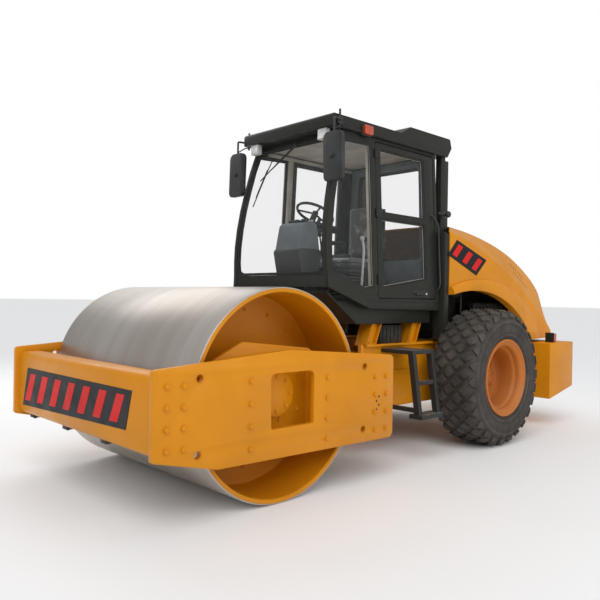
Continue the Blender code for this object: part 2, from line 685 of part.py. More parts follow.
def quarter_panes():
    inset = 0.0015
    outline = [(station + 0.055 + inset, height) for station, height in WINDSCREEN_LINE[1:-1]]
    outline = [(0.93 + inset, 1.765 + inset), *outline, (1.125 + inset, 2.97 - inset),
               (1.50 - inset, 2.985 - inset), (1.50 - inset, 1.63 + inset), (1.36, 1.61 + inset)]
    left = lean(plate("quarter_pane_left", "YZ", [outline], *pane_x()))
    right = mirrored(left, "quarter_pane_right")
    coat("glass", left, right)


def rear_pane():
    inset = 0.0008
    pane = plate("rear_pane", "ZX", [rounded([
        (1.95 + inset, -0.46 + inset, 0.05), (1.95 + inset, 0.46 - inset, 0.05),
        (2.93 - inset, 0.42 - inset, 0.05), (2.93 - inset, -0.42 + inset, 0.05)], 3)],
        CAB_BACK - 0.028, CAB_BACK - 0.022)
    coat("glass", pane)


def doors():
    """Door frames with an upper and a lower light, and one pane behind both."""
    edge = rounded([(DOOR_FRONT, DOOR_LOW, 0.02), (DOOR_FRONT, DOOR_TOP, 0.02),
                    (DOOR_BACK, DOOR_TOP, 0.02), (DOOR_BACK, DOOR_LOW, 0.02)], 2)
    upper = rounded([(1.625, 2.345, 0.015), (1.625, 2.965, 0.02), (2.335, 2.965, 0.02), (2.335, 2.345, 0.015)], 2)
    lower = rounded([(1.625, 1.625, 0.015), (1.625, 2.295, 0.015), (2.335, 2.295, 0.015), (2.335, 1.725, 0.02)], 2)
    outer = CAB_FOOT_X
    left = lean(plate("door_left", "YZ", [edge, upper, lower], outer - 0.035, outer))
    pane = rounded([(1.60, 1.60, 0.01), (1.60, 2.99, 0.01), (2.36, 2.99, 0.01), (2.36, 1.70, 0.01)], 2)
    glass = lean(plate("door_pane_left", "YZ", [pane], outer - 0.035 - GAP - 0.006, outer - 0.035 - GAP))
    right, right_glass = mirrored(left, "door_right"), mirrored(glass, "door_pane_right")
    coat("cab_grey", left, right)
    coat("glass", glass, right_glass)
    for side, sign, pieces in (("left", 1, [left, glass]), ("right", -1, [right, right_glass])):
        carry(f"door_hinge_{side}", (sign * (CAB_FOOT_X + 0.012), DOOR_FRONT, CAB_FOOT_Z), pieces)


def cab_inside():
    console = plate("steering_console", "YZ", [rounded([
        (1.08, FLOOR_TOP + GAP, 0.01), (0.98, 1.95, 0.03), (1.04, 2.24, 0.06), (1.22, 2.26, 0.05),
        (1.27, 1.95, 0.03), (1.24, FLOOR_TOP + GAP, 0.01)], 3)], -0.17, 0.17)
    coat("grey_plastic", console)

    tilt = Matrix.Translation((0, 1.36, 2.36)) @ Matrix.Rotation(math.radians(-28), 4, "X")
    bpy.ops.mesh.primitive_torus_add(major_radius=0.19, minor_radius=0.014, major_segments=24, minor_segments=6)
    wheel = place(bpy.context.active_object)
    wheel.name = wheel.data.name = "steering_wheel"
    helpers = [cylinder("wheel_column", 0.03, (0, 0, -0.10), (0, 0, 0.02), 16)]
    for number in range(3):
        turn = 2 * math.pi * (number + 0.75) / 3
        tip = Vector((math.cos(turn), math.sin(turn), 0)) * 0.19
        helpers.append(cylinder(f"wheel_spoke_{number}", 0.010, (0, 0, 0), tip, 8))
    helpers.append(cylinder("wheel_knob", 0.02, (-0.10, 0.162, 0.0), (-0.10, 0.162, 0.06), 12))
    weld(wheel, *helpers)
    bake(wheel).data.transform(tilt)
    coat("black_steel", wheel)

    base = box("seat_base", (-0.20, 1.68, FLOOR_TOP + GAP), (0.20, 2.06, 1.82 - GAP))
    coat("grey_plastic", base)
    for name, low, high in (("seat_cushion", (-0.24, 1.62, 1.82), (0.24, 2.12, 1.95)),
                            ("seat_back", (-0.23, 2.07, 1.95 + GAP), (0.23, 2.20, 2.52))):
        pad = box(name, low, high)
        soft = pad.modifiers.new("soft_edges", "BEVEL")
        soft.width = 0.03
        soft.segments = 2
        coat("seat", pad)
    shelf = plate("side_console", "YZ", [[
        (1.70, FLOOR_TOP + GAP), (1.70, 1.86), (1.80, 1.98), (2.40, 2.04), (2.40, FLOOR_TOP + GAP)]], -0.56, -0.33)
    coat("grey_plastic", shelf)


def mirrors():
    head = box("mirror_left", (0.56, 0.885, 2.545), (0.80, 0.93, 2.985))
    round_edges = head.modifiers.new("round_edges", "BEVEL")
    round_edges.width = 0.02
    round_edges.segments = 2
    route = [(ROOF_HALF + GAP, 1.02, 3.11), (0.66, 1.02, 3.11), (0.68, 0.91, 3.11), (0.68, 0.907, 2.90)]
    for number, (start, end) in enumerate(zip(route, route[1:])):
        weld(head, cylinder(f"mirror_arm_{number}", 0.010, start, end, 10))
    bake(head)
    right = mirrored(head, "mirror_right")
    coat("black_steel", head, right)


def work_lamps():
    for side, sign in (("left", 1), ("right", -1)):
        near, far = sorted((sign * 0.42, sign * 0.53))
        lamp = box(f"work_lamp_{side}", (near, 0.955, 2.955), (far, 1.015, CAB_TOP - GAP))
        coat("lamp_white", lamp)


# ---------------------------------------------------------------- the machine

def build():
    clear_scene()
    drum_frame = [*side_plates(), *cross_beams(), *scrapers(), *drum_supports(), swing_bearing()]
    hitch = centre_hitch()
    carry("articulation_axis", (0, PIVOT, SWING_Z), [hitch, *drum_frame])
    carry("drum_axis", (0, 0, DRUM_Z), [drum()])
    articulation_pin()
    rear_frame()
    rear_axle()
    engine_block()
    counterweight()
    tail_lamps()
    ladders()
    bonnet()
    cab_frame()
    cab_floor()
    cab_roof()
    rear_posts()
    windscreen()
    quarter_panes()
    rear_pane()
    doors()
    cab_inside()
    mirrors()
    work_lamps()
    for side, sign in (("left", 1), ("right", -1)):
        steering_cylinder(side, sign)
        wheel_pieces(side, sign)
    zero = bpy.data.objects["station_zero"]
    for piece in list(bpy.data.collections["road_roller"].objects) + list(bpy.data.collections["cutters"].objects):
        if piece is not zero and piece.parent is None:
            piece.parent = zero


build()
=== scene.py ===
"""Road roller: its finishes, shells, fittings, soft seat and studio, built around the fixed frame.

Metres, +Z up. The machine drives towards -Y and its left side is +X. A station is a distance
behind the drum's axis, and along() turns it into Y.
"""
import json
import math

import bmesh
import bpy
from mathutils import Matrix, Vector


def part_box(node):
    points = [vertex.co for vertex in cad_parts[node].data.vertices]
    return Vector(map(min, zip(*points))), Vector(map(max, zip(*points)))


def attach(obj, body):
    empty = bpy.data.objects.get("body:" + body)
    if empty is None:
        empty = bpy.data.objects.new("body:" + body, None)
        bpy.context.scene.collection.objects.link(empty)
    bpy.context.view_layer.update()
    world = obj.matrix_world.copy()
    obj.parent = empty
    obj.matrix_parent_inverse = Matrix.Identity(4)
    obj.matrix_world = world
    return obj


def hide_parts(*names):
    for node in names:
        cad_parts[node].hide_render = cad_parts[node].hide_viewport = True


bl_info = {
    "name": "Road Roller",
    "version": (1, 0, 0),
    "blender": (4, 5, 0),
    "location": "View3D > Sidebar > Roller",
    "description": "Finishes and fittings of an articulated single-drum road roller",
    "category": "Add Mesh",
}

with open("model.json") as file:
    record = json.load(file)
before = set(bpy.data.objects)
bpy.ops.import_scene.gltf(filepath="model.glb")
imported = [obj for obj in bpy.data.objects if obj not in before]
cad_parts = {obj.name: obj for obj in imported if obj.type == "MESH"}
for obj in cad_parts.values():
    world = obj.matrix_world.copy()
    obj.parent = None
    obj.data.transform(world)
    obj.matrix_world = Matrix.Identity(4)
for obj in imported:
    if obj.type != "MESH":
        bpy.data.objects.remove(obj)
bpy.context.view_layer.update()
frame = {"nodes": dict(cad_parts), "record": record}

# Places that the frame gives
DRUM_LOW, DRUM_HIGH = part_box("drum")
DRUM_AXIS = (DRUM_LOW + DRUM_HIGH) / 2
DRUM_RADIUS = (DRUM_HIGH.z - DRUM_LOW.z) / 2
DRUM_HALF = DRUM_HIGH.x
TYRE_LOW, TYRE_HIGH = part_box("tyre_left")
WHEEL_AXIS = (TYRE_LOW + TYRE_HIGH) / 2
TYRE_RADIUS = (TYRE_HIGH.z - TYRE_LOW.z) / 2
SIDE_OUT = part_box("side_plate_left")[1].x
SIDE_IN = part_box("side_plate_left")[0].x
BEAM_LOW, BEAM_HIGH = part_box("front_beam")
CAB_FOOT = Vector((0.685, 0.0, 1.41))    # line that the cab's sides lean about
CAB_LEAN = math.radians(3.1)
GAP = 0.0003
COUNTER_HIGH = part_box("counterweight")[1]
COUNTER_BACK = COUNTER_HIGH.y - DRUM_AXIS.y
FRAME_TOP = 1.08 + GAP                   # top of the rear frame's box


def along(station):
    return DRUM_AXIS.y + station


# ---------------------------------------------------------------- sizes and colours

class RollerColours(bpy.types.PropertyGroup):
    """Colours of the machine's finishes."""
    paint: bpy.props.FloatVectorProperty(
        name="Paint", description="Body paint", subtype="COLOR", size=3, min=0, max=1,
        default=(0.72, 0.268, 0.003))
    rim: bpy.props.FloatVectorProperty(
        name="Rims", description="Paint of the wheel rims", subtype="COLOR", size=3, min=0, max=1,
        default=(0.50, 0.150, 0.020))
    cab: bpy.props.FloatVectorProperty(
        name="Cab", description="Paint of the cab's frame and roof", subtype="COLOR", size=3, min=0, max=1,
        default=(0.024, 0.0240, 0.0190))
    tyre: bpy.props.FloatVectorProperty(
        name="Tyres", description="Dusty rubber", subtype="COLOR", size=3, min=0, max=1,
        default=(0.021, 0.018, 0.0155))
    steel: bpy.props.FloatVectorProperty(
        name="Drum steel", description="Rolled steel of the drum", subtype="COLOR", size=3, min=0, max=1,
        default=(0.56, 0.52, 0.48))
    stripes: bpy.props.FloatVectorProperty(
        name="Stripes", description="Plain bars on the black panels", subtype="COLOR", size=3, min=0, max=1,
        default=(0.72, 0.012, 0.010))


class RollerSizes(bpy.types.PropertyGroup):
    """Sizes of what repeats on the machine."""
    bolt_head: bpy.props.FloatProperty(
        name="Bolt head", description="Half width of the frame bolts' heads", default=0.017, unit="LENGTH")
    lug_rows: bpy.props.IntProperty(
        name="Lug rows", description="Rows of tread lugs round a tyre", default=26, min=8)
    lug_height: bpy.props.FloatProperty(
        name="Lug height", description="Depth of the tread", default=0.022, unit="LENGTH")
    bevel: bpy.props.FloatProperty(
        name="Bevel", description="Rounding of plate edges", default=0.004, unit="LENGTH")


class RollerStudio(bpy.types.PropertyGroup):
    """Floor, light and camera."""
    floor_size: bpy.props.FloatProperty(
        name="Floor", description="Width of the floor", default=400.0, unit="LENGTH")
    lens: bpy.props.FloatProperty(
        name="Lens", description="Focal length in millimetres", default=39.0)
    brightness: bpy.props.FloatProperty(
        name="Brightness", description="Strength of the lamps", default=1.0, min=0)
    fill: bpy.props.FloatProperty(
        name="Fill", description="Strength of the light from all round", default=0.52, min=0)


# ---------------------------------------------------------------- node trees of the finishes

class Finish:
    """A material's node tree, laid out step by step."""

    def __init__(self, name, colour=(0.5, 0.5, 0.5), roughness=0.5, metallic=0.0):
        if name in bpy.data.materials:
            bpy.data.materials[name].name = f"{name}_of_frame"
        self.material = bpy.data.materials.new(name)
        self.material.use_nodes = True
        self.tree = self.material.node_tree
        self.shader = self.tree.nodes["Principled BSDF"]
        self.set(Base_Color=(*colour, 1.0), Roughness=roughness, Metallic=metallic)
        self.place = self.node("ShaderNodeTexCoord").outputs["Object"]

    def set(self, **values):
        for name, value in values.items():
            self.shader.inputs[name.replace("_", " ")].default_value = value

    def node(self, kind, **settings):
        made = self.tree.nodes.new(kind)
        for name, value in settings.items():
            setattr(made, name, value)
        return made

    def link(self, start, end):
        self.tree.links.new(start, end)

    def stretched(self, scale, turn=(0.0, 0.0, 0.0)):
        mapping = self.node("ShaderNodeMapping")
        mapping.inputs["Scale"].default_value = scale
        mapping.inputs["Rotation"].default_value = turn
        self.link(self.place, mapping.inputs["Vector"])
        return mapping.outputs["Vector"]

    def noise(self, scale, detail=4.0, rough=0.55, vector=None):
        made = self.node("ShaderNodeTexNoise")
        made.inputs["Scale"].default_value = scale
        made.inputs["Detail"].default_value = detail
        made.inputs["Roughness"].default_value = rough
        self.link(vector or self.place, made.inputs["Vector"])
        return made.outputs["Fac"]

    def height(self):
        """How high a point stands, in metres."""
        apart = self.node("ShaderNodeSeparateXYZ")
        self.link(self.place, apart.inputs["Vector"])
        return apart.outputs["Z"]

    def math(self, operation, first, second, clamp=False):
        made = self.node("ShaderNodeMath", operation=operation, use_clamp=clamp)
        for socket, value in zip(made.inputs, (first, second)):
            if isinstance(value, bpy.types.NodeSocket):
                self.link(value, socket)
            else:
                socket.default_value = value
        return made.outputs[0]

    def ramp(self, factor, *stops):
        """Stops are (position, grey or colour)."""
        made = self.node("ShaderNodeValToRGB")
        while len(made.color_ramp.elements) < len(stops):
            made.color_ramp.elements.new(0.5)
        for element, (position, colour) in zip(made.color_ramp.elements, stops):
            element.position = position
            element.color = (colour,) * 3 + (1.0,) if isinstance(colour, float) else (*colour, 1.0)
        self.link(factor, made.inputs["Fac"])
        return made.outputs["Color"]

    def blend(self, factor, low, high, mode="MIX"):
        """Mixes two colours, each a socket or a tuple."""
        made = self.node("ShaderNodeMix", data_type="RGBA", blend_type=mode)
        for socket, value in ((made.inputs["Factor"], factor), (made.inputs[6], low), (made.inputs[7], high)):
            if isinstance(value, bpy.types.NodeSocket):
                self.link(value, socket)
            else:
                socket.default_value = (*value, 1.0) if isinstance(value, tuple) else value
        return made.outputs[2]

    def worn_edges(self, sharp=0.55):
        """A mask that is white along outward edges, broken up by grit."""
        edge = self.ramp(self.node("ShaderNodeNewGeometry").outputs["Pointiness"], (0.52, 0.0), (sharp, 1.0))
        grit = self.ramp(self.noise(24.0, 8.0, 0.7), (0.50, 0.0), (0.62, 1.0))
        return self.blend(1.0, edge, grit, "MULTIPLY")

    def colour(self, socket):
        self.link(socket, self.shader.inputs["Base Color"])

    def roughness(self, socket):
        self.link(socket, self.shader.inputs["Roughness"])

    def bump(self, height, distance, strength=1.0):
        made = self.node("ShaderNodeBump")
        made.inputs["Distance"].default_value = distance
        made.inputs["Strength"].default_value = strength
        self.link(height, made.inputs["Height"])
        self.link(made.outputs["Normal"], self.shader.inputs["Normal"])


def painted(name, colour, roughness, dust=(0.40, 0.33, 0.24), dust_share=0.3, low_dust=0.35, coat=0.0, wear=0.3):
    """Paint with orange peel, cloudy fading, dust that lies thicker low down, and chipped edges."""
    made = Finish(name, colour, roughness)
    made.set(Coat_Weight=coat, Coat_Roughness=0.12, Specular_IOR_Level=0.22)
    deeper = tuple(c * 0.80 for c in colour)
    base = made.blend(made.ramp(made.noise(1.1, 4.0), (0.35, 0.0), (0.7, 1.0)), colour, deeper)
    patches = made.ramp(made.noise(2.3, 8.0, 0.65), (0.42, 0.0), (0.80, 1.0))
    grains = made.ramp(made.noise(60.0, 3.0, 0.6), (0.40, 0.15), (0.8, 1.0))
    low = made.ramp(made.height(), (0.10, low_dust), (0.95, 0.0))
    cover = made.blend(1.0, patches, (dust_share,) * 3, "MULTIPLY")
    cover = made.blend(1.0, made.blend(1.0, cover, low, "ADD"), grains, "MULTIPLY")
    dusty = made.blend(cover, base, dust)
    worn = made.blend(1.0, made.worn_edges(), (wear,) * 3, "MULTIPLY")
    made.colour(made.blend(worn, dusty, tuple(min(1.0, c * 0.55 + 0.05) for c in colour)))
    made.roughness(made.ramp(made.noise(6.0, 6.0), (0.3, roughness - 0.07), (0.7, roughness + 0.12)))
    made.bump(made.noise(190.0, 2.0), 0.0006, 0.22)
    return made.material


def brushed_steel(name, colour, rust=0.28):
    """Steel rubbed bright round the drum's axis: fine rings, soft darker bands round the drum that are painted
    reflections of the studio, and a little rust.
    """
    made = Finish(name, colour, 0.3, 1.0)
    rings = made.noise(1.0, 8.0, 0.75, made.stretched((420.0, 0.8, 0.8)))
    # Painted reflection: the soft bands darken the steel in rings round the drum, in place of the studio's reflections
    # in it.
    bands = made.ramp(made.noise(1.0, 4.0, 0.5, made.stretched((4.2, 0.35, 0.35))), (0.36, 0.0), (0.66, 1.0))
    wear_and_reflection_bands = made.blend(bands, colour, tuple(c * f for c, f in zip(colour, (0.86, 0.83, 0.80))))
    streaks = made.ramp(made.noise(1.0, 8.0, 0.7, made.stretched((16.0, 1.1, 1.1))), (0.55, 0.0), (0.78, rust))
    made.colour(made.blend(streaks, wear_and_reflection_bands, (0.30, 0.17, 0.09)))
    made.roughness(made.ramp(rings, (0.25, 0.34), (0.8, 0.50)))
    made.bump(rings, 0.0005, 0.22)
    return made.material


def polished(name, colour, roughness):
    made = Finish(name, colour, roughness, 1.0)
    made.roughness(made.ramp(made.noise(40.0, 6.0), (0.3, roughness), (0.8, roughness + 0.15)))
    made.bump(made.noise(300.0, 2.0), 0.0003, 0.1)
    return made.material


def rubber(name, colour, dust_share=0.55):
    """Moulded rubber, greyed by dry mud on what stands proud."""
    made = Finish(name, colour, 0.8)
    clouds = made.ramp(made.noise(4.0, 8.0, 0.7), (0.35, 0.15), (0.75, 1.0))
    proud = made.ramp(made.node("ShaderNodeNewGeometry").outputs["Pointiness"], (0.47, 0.0), (0.53, 1.0))
    cover = made.blend(1.0, made.blend(1.0, clouds, proud, "MULTIPLY"), (dust_share,) * 3, "MULTIPLY")
    made.colour(made.blend(cover, colour, (0.17, 0.142, 0.115)))
    made.roughness(made.ramp(made.noise(11.0, 6.0), (0.3, 0.62), (0.7, 0.92)))
    made.bump(made.noise(90.0, 6.0, 0.65), 0.0018, 0.4)
    return made.material


def glass(name, tint, cover=0.05, haze=0.12):
    """Thin clear glass: all but a little of the light passes straight through."""
    made = Finish(name, tint, 0.03)
    made.set(Alpha=cover)
    made.roughness(made.ramp(made.noise(9.0, 9.0, 0.7), (0.5, 0.02), (0.95, haze)))
    return made.material


def clear_film(name):
    """Thin wrinkled plastic that covers the seat, with painted highlights along its crease ridges."""
    made = Finish(name, (0.75, 0.77, 0.76), 0.16)
    made.set(IOR=1.4, Alpha=0.42, Coat_Weight=1.0, Coat_Roughness=0.08)
    creases = made.noise(34.0, 5.0, 0.6)
    # Painted highlight: the crease ridges pale to near white, in place of light caught by the wrinkles.
    made.colour(made.blend(made.ramp(creases, (0.45, 0.0), (0.6, 1.0)), (0.42, 0.44, 0.43), (0.95, 0.96, 0.95)))
    made.bump(creases, 0.01, 0.9)
    return made.material


def moulded(name, colour, roughness=0.6, grain=420.0):
    """Grained plastic with scuffs."""
    made = Finish(name, colour, roughness)
    paler = tuple(min(1.0, c * 1.5 + 0.01) for c in colour)
    made.colour(made.blend(made.ramp(made.noise(5.0, 6.0), (0.35, 0.0), (0.8, 1.0)), colour, paler))
    made.roughness(made.ramp(made.noise(14.0, 6.0), (0.3, roughness - 0.1), (0.7, roughness + 0.1)))
    made.bump(made.noise(grain, 2.0), 0.0008, 0.35)
    return made.material


def cloth(name, colour, film=(0.34, 0.34, 0.33)):
    """Woven seat cloth with a ribbed weave, under the clear film of a new seat; the film's shine along its creases is
    painted into the colour as pale highlights.
    """
    made = Finish(name, colour, 0.8)
    made.set(Sheen_Weight=0.2, Coat_Weight=0.7, Coat_Roughness=0.16)
    weave = made.noise(1.0, 1.0, 0.5, made.stretched((520.0, 170.0, 520.0)))
    threads = made.noise(1.0, 1.0, 0.5, made.stretched((150.0, 600.0, 150.0)))
    woven = made.blend(1.0, weave, threads, "ADD")
    woven_colour = made.blend(made.ramp(woven, (0.7, 0.0), (1.0, 1.0)), colour, tuple(c * 2.1 for c in colour))
    creases = made.noise(7.0, 9.0, 0.68)
    # Painted highlight: the crease ridges pale towards film, the colour of the film's shine, in place of light caught
    # by the wrinkles.
    painted_film_highlights = made.ramp(creases, (0.52, 0.0), (0.62, 0.75))
    made.colour(made.blend(painted_film_highlights, woven_colour, film))
    made.bump(creases, 0.012, 0.8)
    return made.material


def lens(name, colour, clearness=0.35):
    """Ribbed lamp glass."""
    made = Finish(name, colour, 0.12)
    made.set(Coat_Weight=0.8, Transmission_Weight=clearness)
    ribs = made.node("ShaderNodeTexWave", wave_type="BANDS", bands_direction="Z")
    ribs.inputs["Scale"].default_value = 55.0
    ribs.inputs["Distortion"].default_value = 0.6
    made.link(made.place, ribs.inputs["Vector"])
    made.colour(made.blend(ribs.outputs["Fac"], colour, tuple(c * 0.72 for c in colour)))
    made.roughness(made.ramp(made.noise(30.0), (0.3, 0.08), (0.8, 0.2)))
    made.bump(ribs.outputs["Fac"], 0.002, 0.6)
    return made.material


def trodden(name, colour):
    """Black paint rubbed to grey steel on what faces up."""
    made = Finish(name, colour, 0.5)
    apart = made.node("ShaderNodeSeparateXYZ")
    made.link(made.node("ShaderNodeNewGeometry").outputs["Normal"], apart.inputs["Vector"])
    upward = made.ramp(apart.outputs["Z"], (0.5, 0.0), (0.8, 1.0))
    wear_and_reflection_bands = made.ramp(made.noise(13.0, 8.0, 0.7), (0.38, 0.0), (0.6, 0.85))
    made.colour(made.blend(made.blend(1.0, upward, wear_and_reflection_bands, "MULTIPLY"), colour, (0.20, 0.185, 0.16)))
    made.roughness(made.ramp(made.noise(20.0, 6.0), (0.3, 0.4), (0.7, 0.65)))
    made.bump(made.noise(120.0, 4.0), 0.001, 0.3)
    return made.material


def finishes(colours):
    """Every finish by name. Those of the record keep the record's name."""
    black = (0.016, 0.017, 0.016)
    return (
        painted("yellow_paint", tuple(colours.paint), 0.34, dust_share=0.02, low_dust=0.03, coat=0.04, wear=0.08),
        painted("black_paint", black, 0.42, dust_share=0.22, low_dust=0.3),
        painted("rim_paint", tuple(colours.rim), 0.46, dust_share=0.30, low_dust=0.25),
        painted("cab_grey", tuple(colours.cab), 0.42, dust_share=0.02, low_dust=0.0, coat=0.05, wear=0.12),
        painted("engine_black", (0.020, 0.020, 0.019), 0.5, dust_share=0.45, low_dust=0.3),
        painted("stripe_red", tuple(colours.stripes), 0.45, dust_share=0.0, low_dust=0.0, wear=0.0),
        painted("panel_black", (0.007, 0.008, 0.010), 0.40, dust_share=0.01, low_dust=0.0, wear=0.0),
        brushed_steel("steel", tuple(colours.steel)),
        polished("chrome", (0.70, 0.70, 0.70), 0.12),
        polished("bare_steel", (0.36, 0.34, 0.31), 0.34),
        rubber("tyre", tuple(colours.tyre)),
        rubber("seal", (0.012, 0.012, 0.012), 0.10),
        glass("cab_glass", (0.30, 0.32, 0.31)),
        clear_film("clear_film"),
        moulded("console_plastic", (0.085, 0.098, 0.105)),
        moulded("dark_plastic", (0.018, 0.019, 0.019), 0.5),
        moulded("headliner", (0.36, 0.33, 0.28), 0.75, 160.0),
        moulded("pale_trim", (0.46, 0.45, 0.41), 0.6, 200.0),
        cloth("seat_cloth", (0.045, 0.046, 0.048)),
        lens("lamp_red", (0.86, 0.085, 0.012)),
        lens("lamp_clear", (0.86, 0.85, 0.80)),
        trodden("trodden_black", black),
    )


class ROLLER_OT_finishes(bpy.types.Operator):
    """Makes the finishes and gives every carried-over piece its own"""
    bl_idname = "roller.finishes"
    bl_label = "Finishes"

    def execute(self, context):
        finishes(context.scene.roller_colours)
        for part in frame["record"]["subparts"]:
            piece = frame["nodes"][part["node"]]
            piece.data.materials.clear()
            piece.data.materials.append(bpy.data.materials[part["material_slot"]])
        return {"FINISHED"}


# ---------------------------------------------------------------- shapes

def shown(name, mesh):
    made = bpy.data.objects.new(name, mesh)
    mesh.name = name
    bpy.context.scene.collection.objects.link(made)
    return made


def settled(source):
    """The piece as its modifiers or its curve make it, as plain mesh standing at the origin."""
    bpy.context.view_layer.update()
    graph = bpy.context.evaluated_depsgraph_get()
    mesh = bpy.data.meshes.new_from_object(source.evaluated_get(graph))
    mesh.transform(source.matrix_world)
    name = source.name
    bpy.data.objects.remove(source, do_unlink=True)
    return shown(name, mesh)


def smoothed(piece, angle=35.0):
    piece.data.shade_smooth()
    piece.data.set_sharp_from_angle(angle=math.radians(angle))
    return piece


def from_bmesh(name, work, angle=35.0):
    """A bmesh as a piece whose seams are merged and whose faces point outwards."""
    bmesh.ops.remove_doubles(work, verts=work.verts, dist=1e-5)
    bmesh.ops.dissolve_degenerate(work, edges=work.edges, dist=1e-5)
    bmesh.ops.recalc_face_normals(work, faces=work.faces)
    mesh = bpy.data.meshes.new(name)
    work.to_mesh(mesh)
    work.free()
    return smoothed(shown(name, mesh), angle)


def mended(piece, angle=35.0):
    """Merges a piece's doubles and turns its faces outwards."""
    work = bmesh.new()
    work.from_mesh(piece.data)
    name = piece.name
    bpy.data.objects.remove(piece, do_unlink=True)
    return from_bmesh(name, work, angle)


def finished(piece, body, finish, *replaced):
    """Gives a piece its finish and its body, and hides the nodes that it stands for."""
    piece.data.materials.clear()
    piece.data.materials.append(bpy.data.materials[finish])
    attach(piece, body)
    if replaced:
        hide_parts(*replaced)
    return piece


def joined(name, pieces, angle=35.0):
    """Several pieces of one finish as one mesh."""
    work = bmesh.new()
    for piece in pieces:
        work.from_mesh(piece.data)
        bpy.data.objects.remove(piece, do_unlink=True)
    mesh = bpy.data.meshes.new(name)
    work.to_mesh(mesh)
    work.free()
    return smoothed(shown(name, mesh), angle)


def copied(piece, name, matrix):
    """A copy under a matrix. A mirrored one has its faces turned back."""
    mesh = piece.data.copy()
    mesh.transform(matrix)
    if matrix.determinant() < 0:
        mesh.flip_normals()
    return shown(name, mesh)


MIRROR = Matrix.Diagonal((-1.0, 1.0, 1.0, 1.0))


def both_sides(left, name, body, finish, *replaced):
    """Finishes a left piece and its mirror image. {} in a name or body becomes the side."""
    right = copied(left, name.format("right"), MIRROR)
    left.name = left.data.name = name.format("left")
    for piece, side in ((left, "left"), (right, "right")):
        finished(piece, body.format(side), finish, *(node.format(side) for node in replaced))


def leaned(piece):
    """Leans a piece of the cab's left side inwards, as the cab's side leans."""
    foot = Matrix.Translation(CAB_FOOT)
    piece.data.transform(foot @ Matrix.Rotation(-CAB_LEAN, 4, "Y") @ foot.inverted())
    return piece


def side_x(height):
    return CAB_FOOT.x - (height - CAB_FOOT.z) * math.tan(CAB_LEAN)


def bevelled(piece, width, segments=2, limit=30.0):
    bevel = piece.modifiers.new("soft_edges", "BEVEL")
    bevel.width = width
    bevel.segments = segments
    bevel.limit_method = "ANGLE"
    bevel.angle_limit = math.radians(limit)
    bevel.harden_normals = False
    return smoothed(settled(piece), 40.0)


def softened(node, width=0.004, segments=2, name=None):
    """A copy of a node as one merged mesh, with its edges broken."""
    work = bmesh.new()
    work.from_mesh(frame["nodes"][node].data)
    bmesh.ops.remove_doubles(work, verts=work.verts, dist=2e-5)
    bmesh.ops.dissolve_limit(work, angle_limit=math.radians(0.8), verts=work.verts, edges=work.edges)
    mesh = bpy.data.meshes.new(node)
    work.to_mesh(mesh)
    work.free()
    return bevelled(shown(name or f"{node}_finished", mesh), width, segments)


def block(name, low, high, edge=0.004, segments=2):
    """A box with broken edges."""
    low, high = Vector(low), Vector(high)
    work = bmesh.new()
    bmesh.ops.create_cube(work, size=1.0)
    work.transform(Matrix.Translation((low + high) / 2) @ Matrix.Diagonal((*(high - low), 1.0)))
    bmesh.ops.bevel(work, geom=work.edges[:], offset=edge, segments=segments, profile=0.5, affect="EDGES")
    return from_bmesh(name, work, 40.0)


def lathe(name, profile, place, sides=96, axis=(1, 0, 0), closed=True, angle=35.0):
    """Turns a profile of (radius, distance along the axis) round an axis through place."""
    work = bmesh.new()
    points = [work.verts.new((distance, 0.0, radius)) for radius, distance in profile]
    pairs = list(zip(points, points[1:])) + ([(points[-1], points[0])] if closed else [])
    edges = [work.edges.new(pair) for pair in pairs]
    bmesh.ops.spin(work, geom=points + edges, cent=(0, 0, 0), axis=(1, 0, 0), angle=2 * math.pi, steps=sides)
    turn = Vector((1, 0, 0)).rotation_difference(Vector(axis)).to_matrix().to_4x4()
    work.transform(Matrix.Translation(place) @ turn)
    return from_bmesh(name, work, angle)


def disc(name, radius, start, end, edge=0.003, sides=32):
    """A round bar or boss from start to end with broken edges."""
    start, end = Vector(start), Vector(end)
    length = (end - start).length
    edge = min(edge, radius / 3, length / 3)
    profile = [(0.0, 0.0), (radius - edge, 0.0), (radius, edge), (radius, length - edge), (radius - edge, length),
               (0.0, length)]
    return lathe(name, profile, start, sides, end - start, closed=False)


def arc(centre, radii, first, last, steps):
    """Points (a, b) of an elliptic arc, in degrees."""
    turns = [math.radians(first + (last - first) * k / steps) for k in range(steps + 1)]
    return [(centre[0] + radii[0] * math.cos(turn), centre[1] + radii[1] * math.sin(turn)) for turn in turns]


def rounded(corners, steps=6):
    """Corner points (a, b, radius) to an outline whose corners are arcs."""
    outline = []
    for index, (a, b, radius) in enumerate(corners):
        corner = Vector((a, b))
        if radius == 0:
            outline.append((a, b))
            continue
        before = (Vector(corners[index - 1][:2]) - corner).normalized()
        after = (Vector(corners[(index + 1) % len(corners)][:2]) - corner).normalized()
        half = before.angle(after) / 2
        middle = corner + (before + after).normalized() * radius / math.sin(half)
        first = corner + before * radius / math.tan(half) - middle
        last = corner + after * radius / math.tan(half) - middle
        sweep = first.angle_signed(last)
        for step in range(steps + 1):
            point = first.copy()
            point.rotate(Matrix.Rotation(-sweep * step / steps, 2))
            outline.append(tuple(middle + point))
    return outline


def inset(outline, amount):
    """The outline moved inwards by amount, whichever way it runs."""
    area = sum(a[0] * b[1] - b[0] * a[1] for a, b in zip(outline, outline[1:] + outline[:1]))
    sign = 1 if area > 0 else -1
    moved = []
    for index, point in enumerate(outline):
        before = Vector(point) - Vector(outline[index - 1])
        after = Vector(outline[(index + 1) % len(outline)]) - Vector(point)
        normals = [Vector((-edge.y, edge.x)).normalized() * sign for edge in (before, after)]
        middle = (normals[0] + normals[1]).normalized()
        moved.append(tuple(Vector(point) + middle * amount / max(0.4, middle.dot(normals[0]))))
    return moved


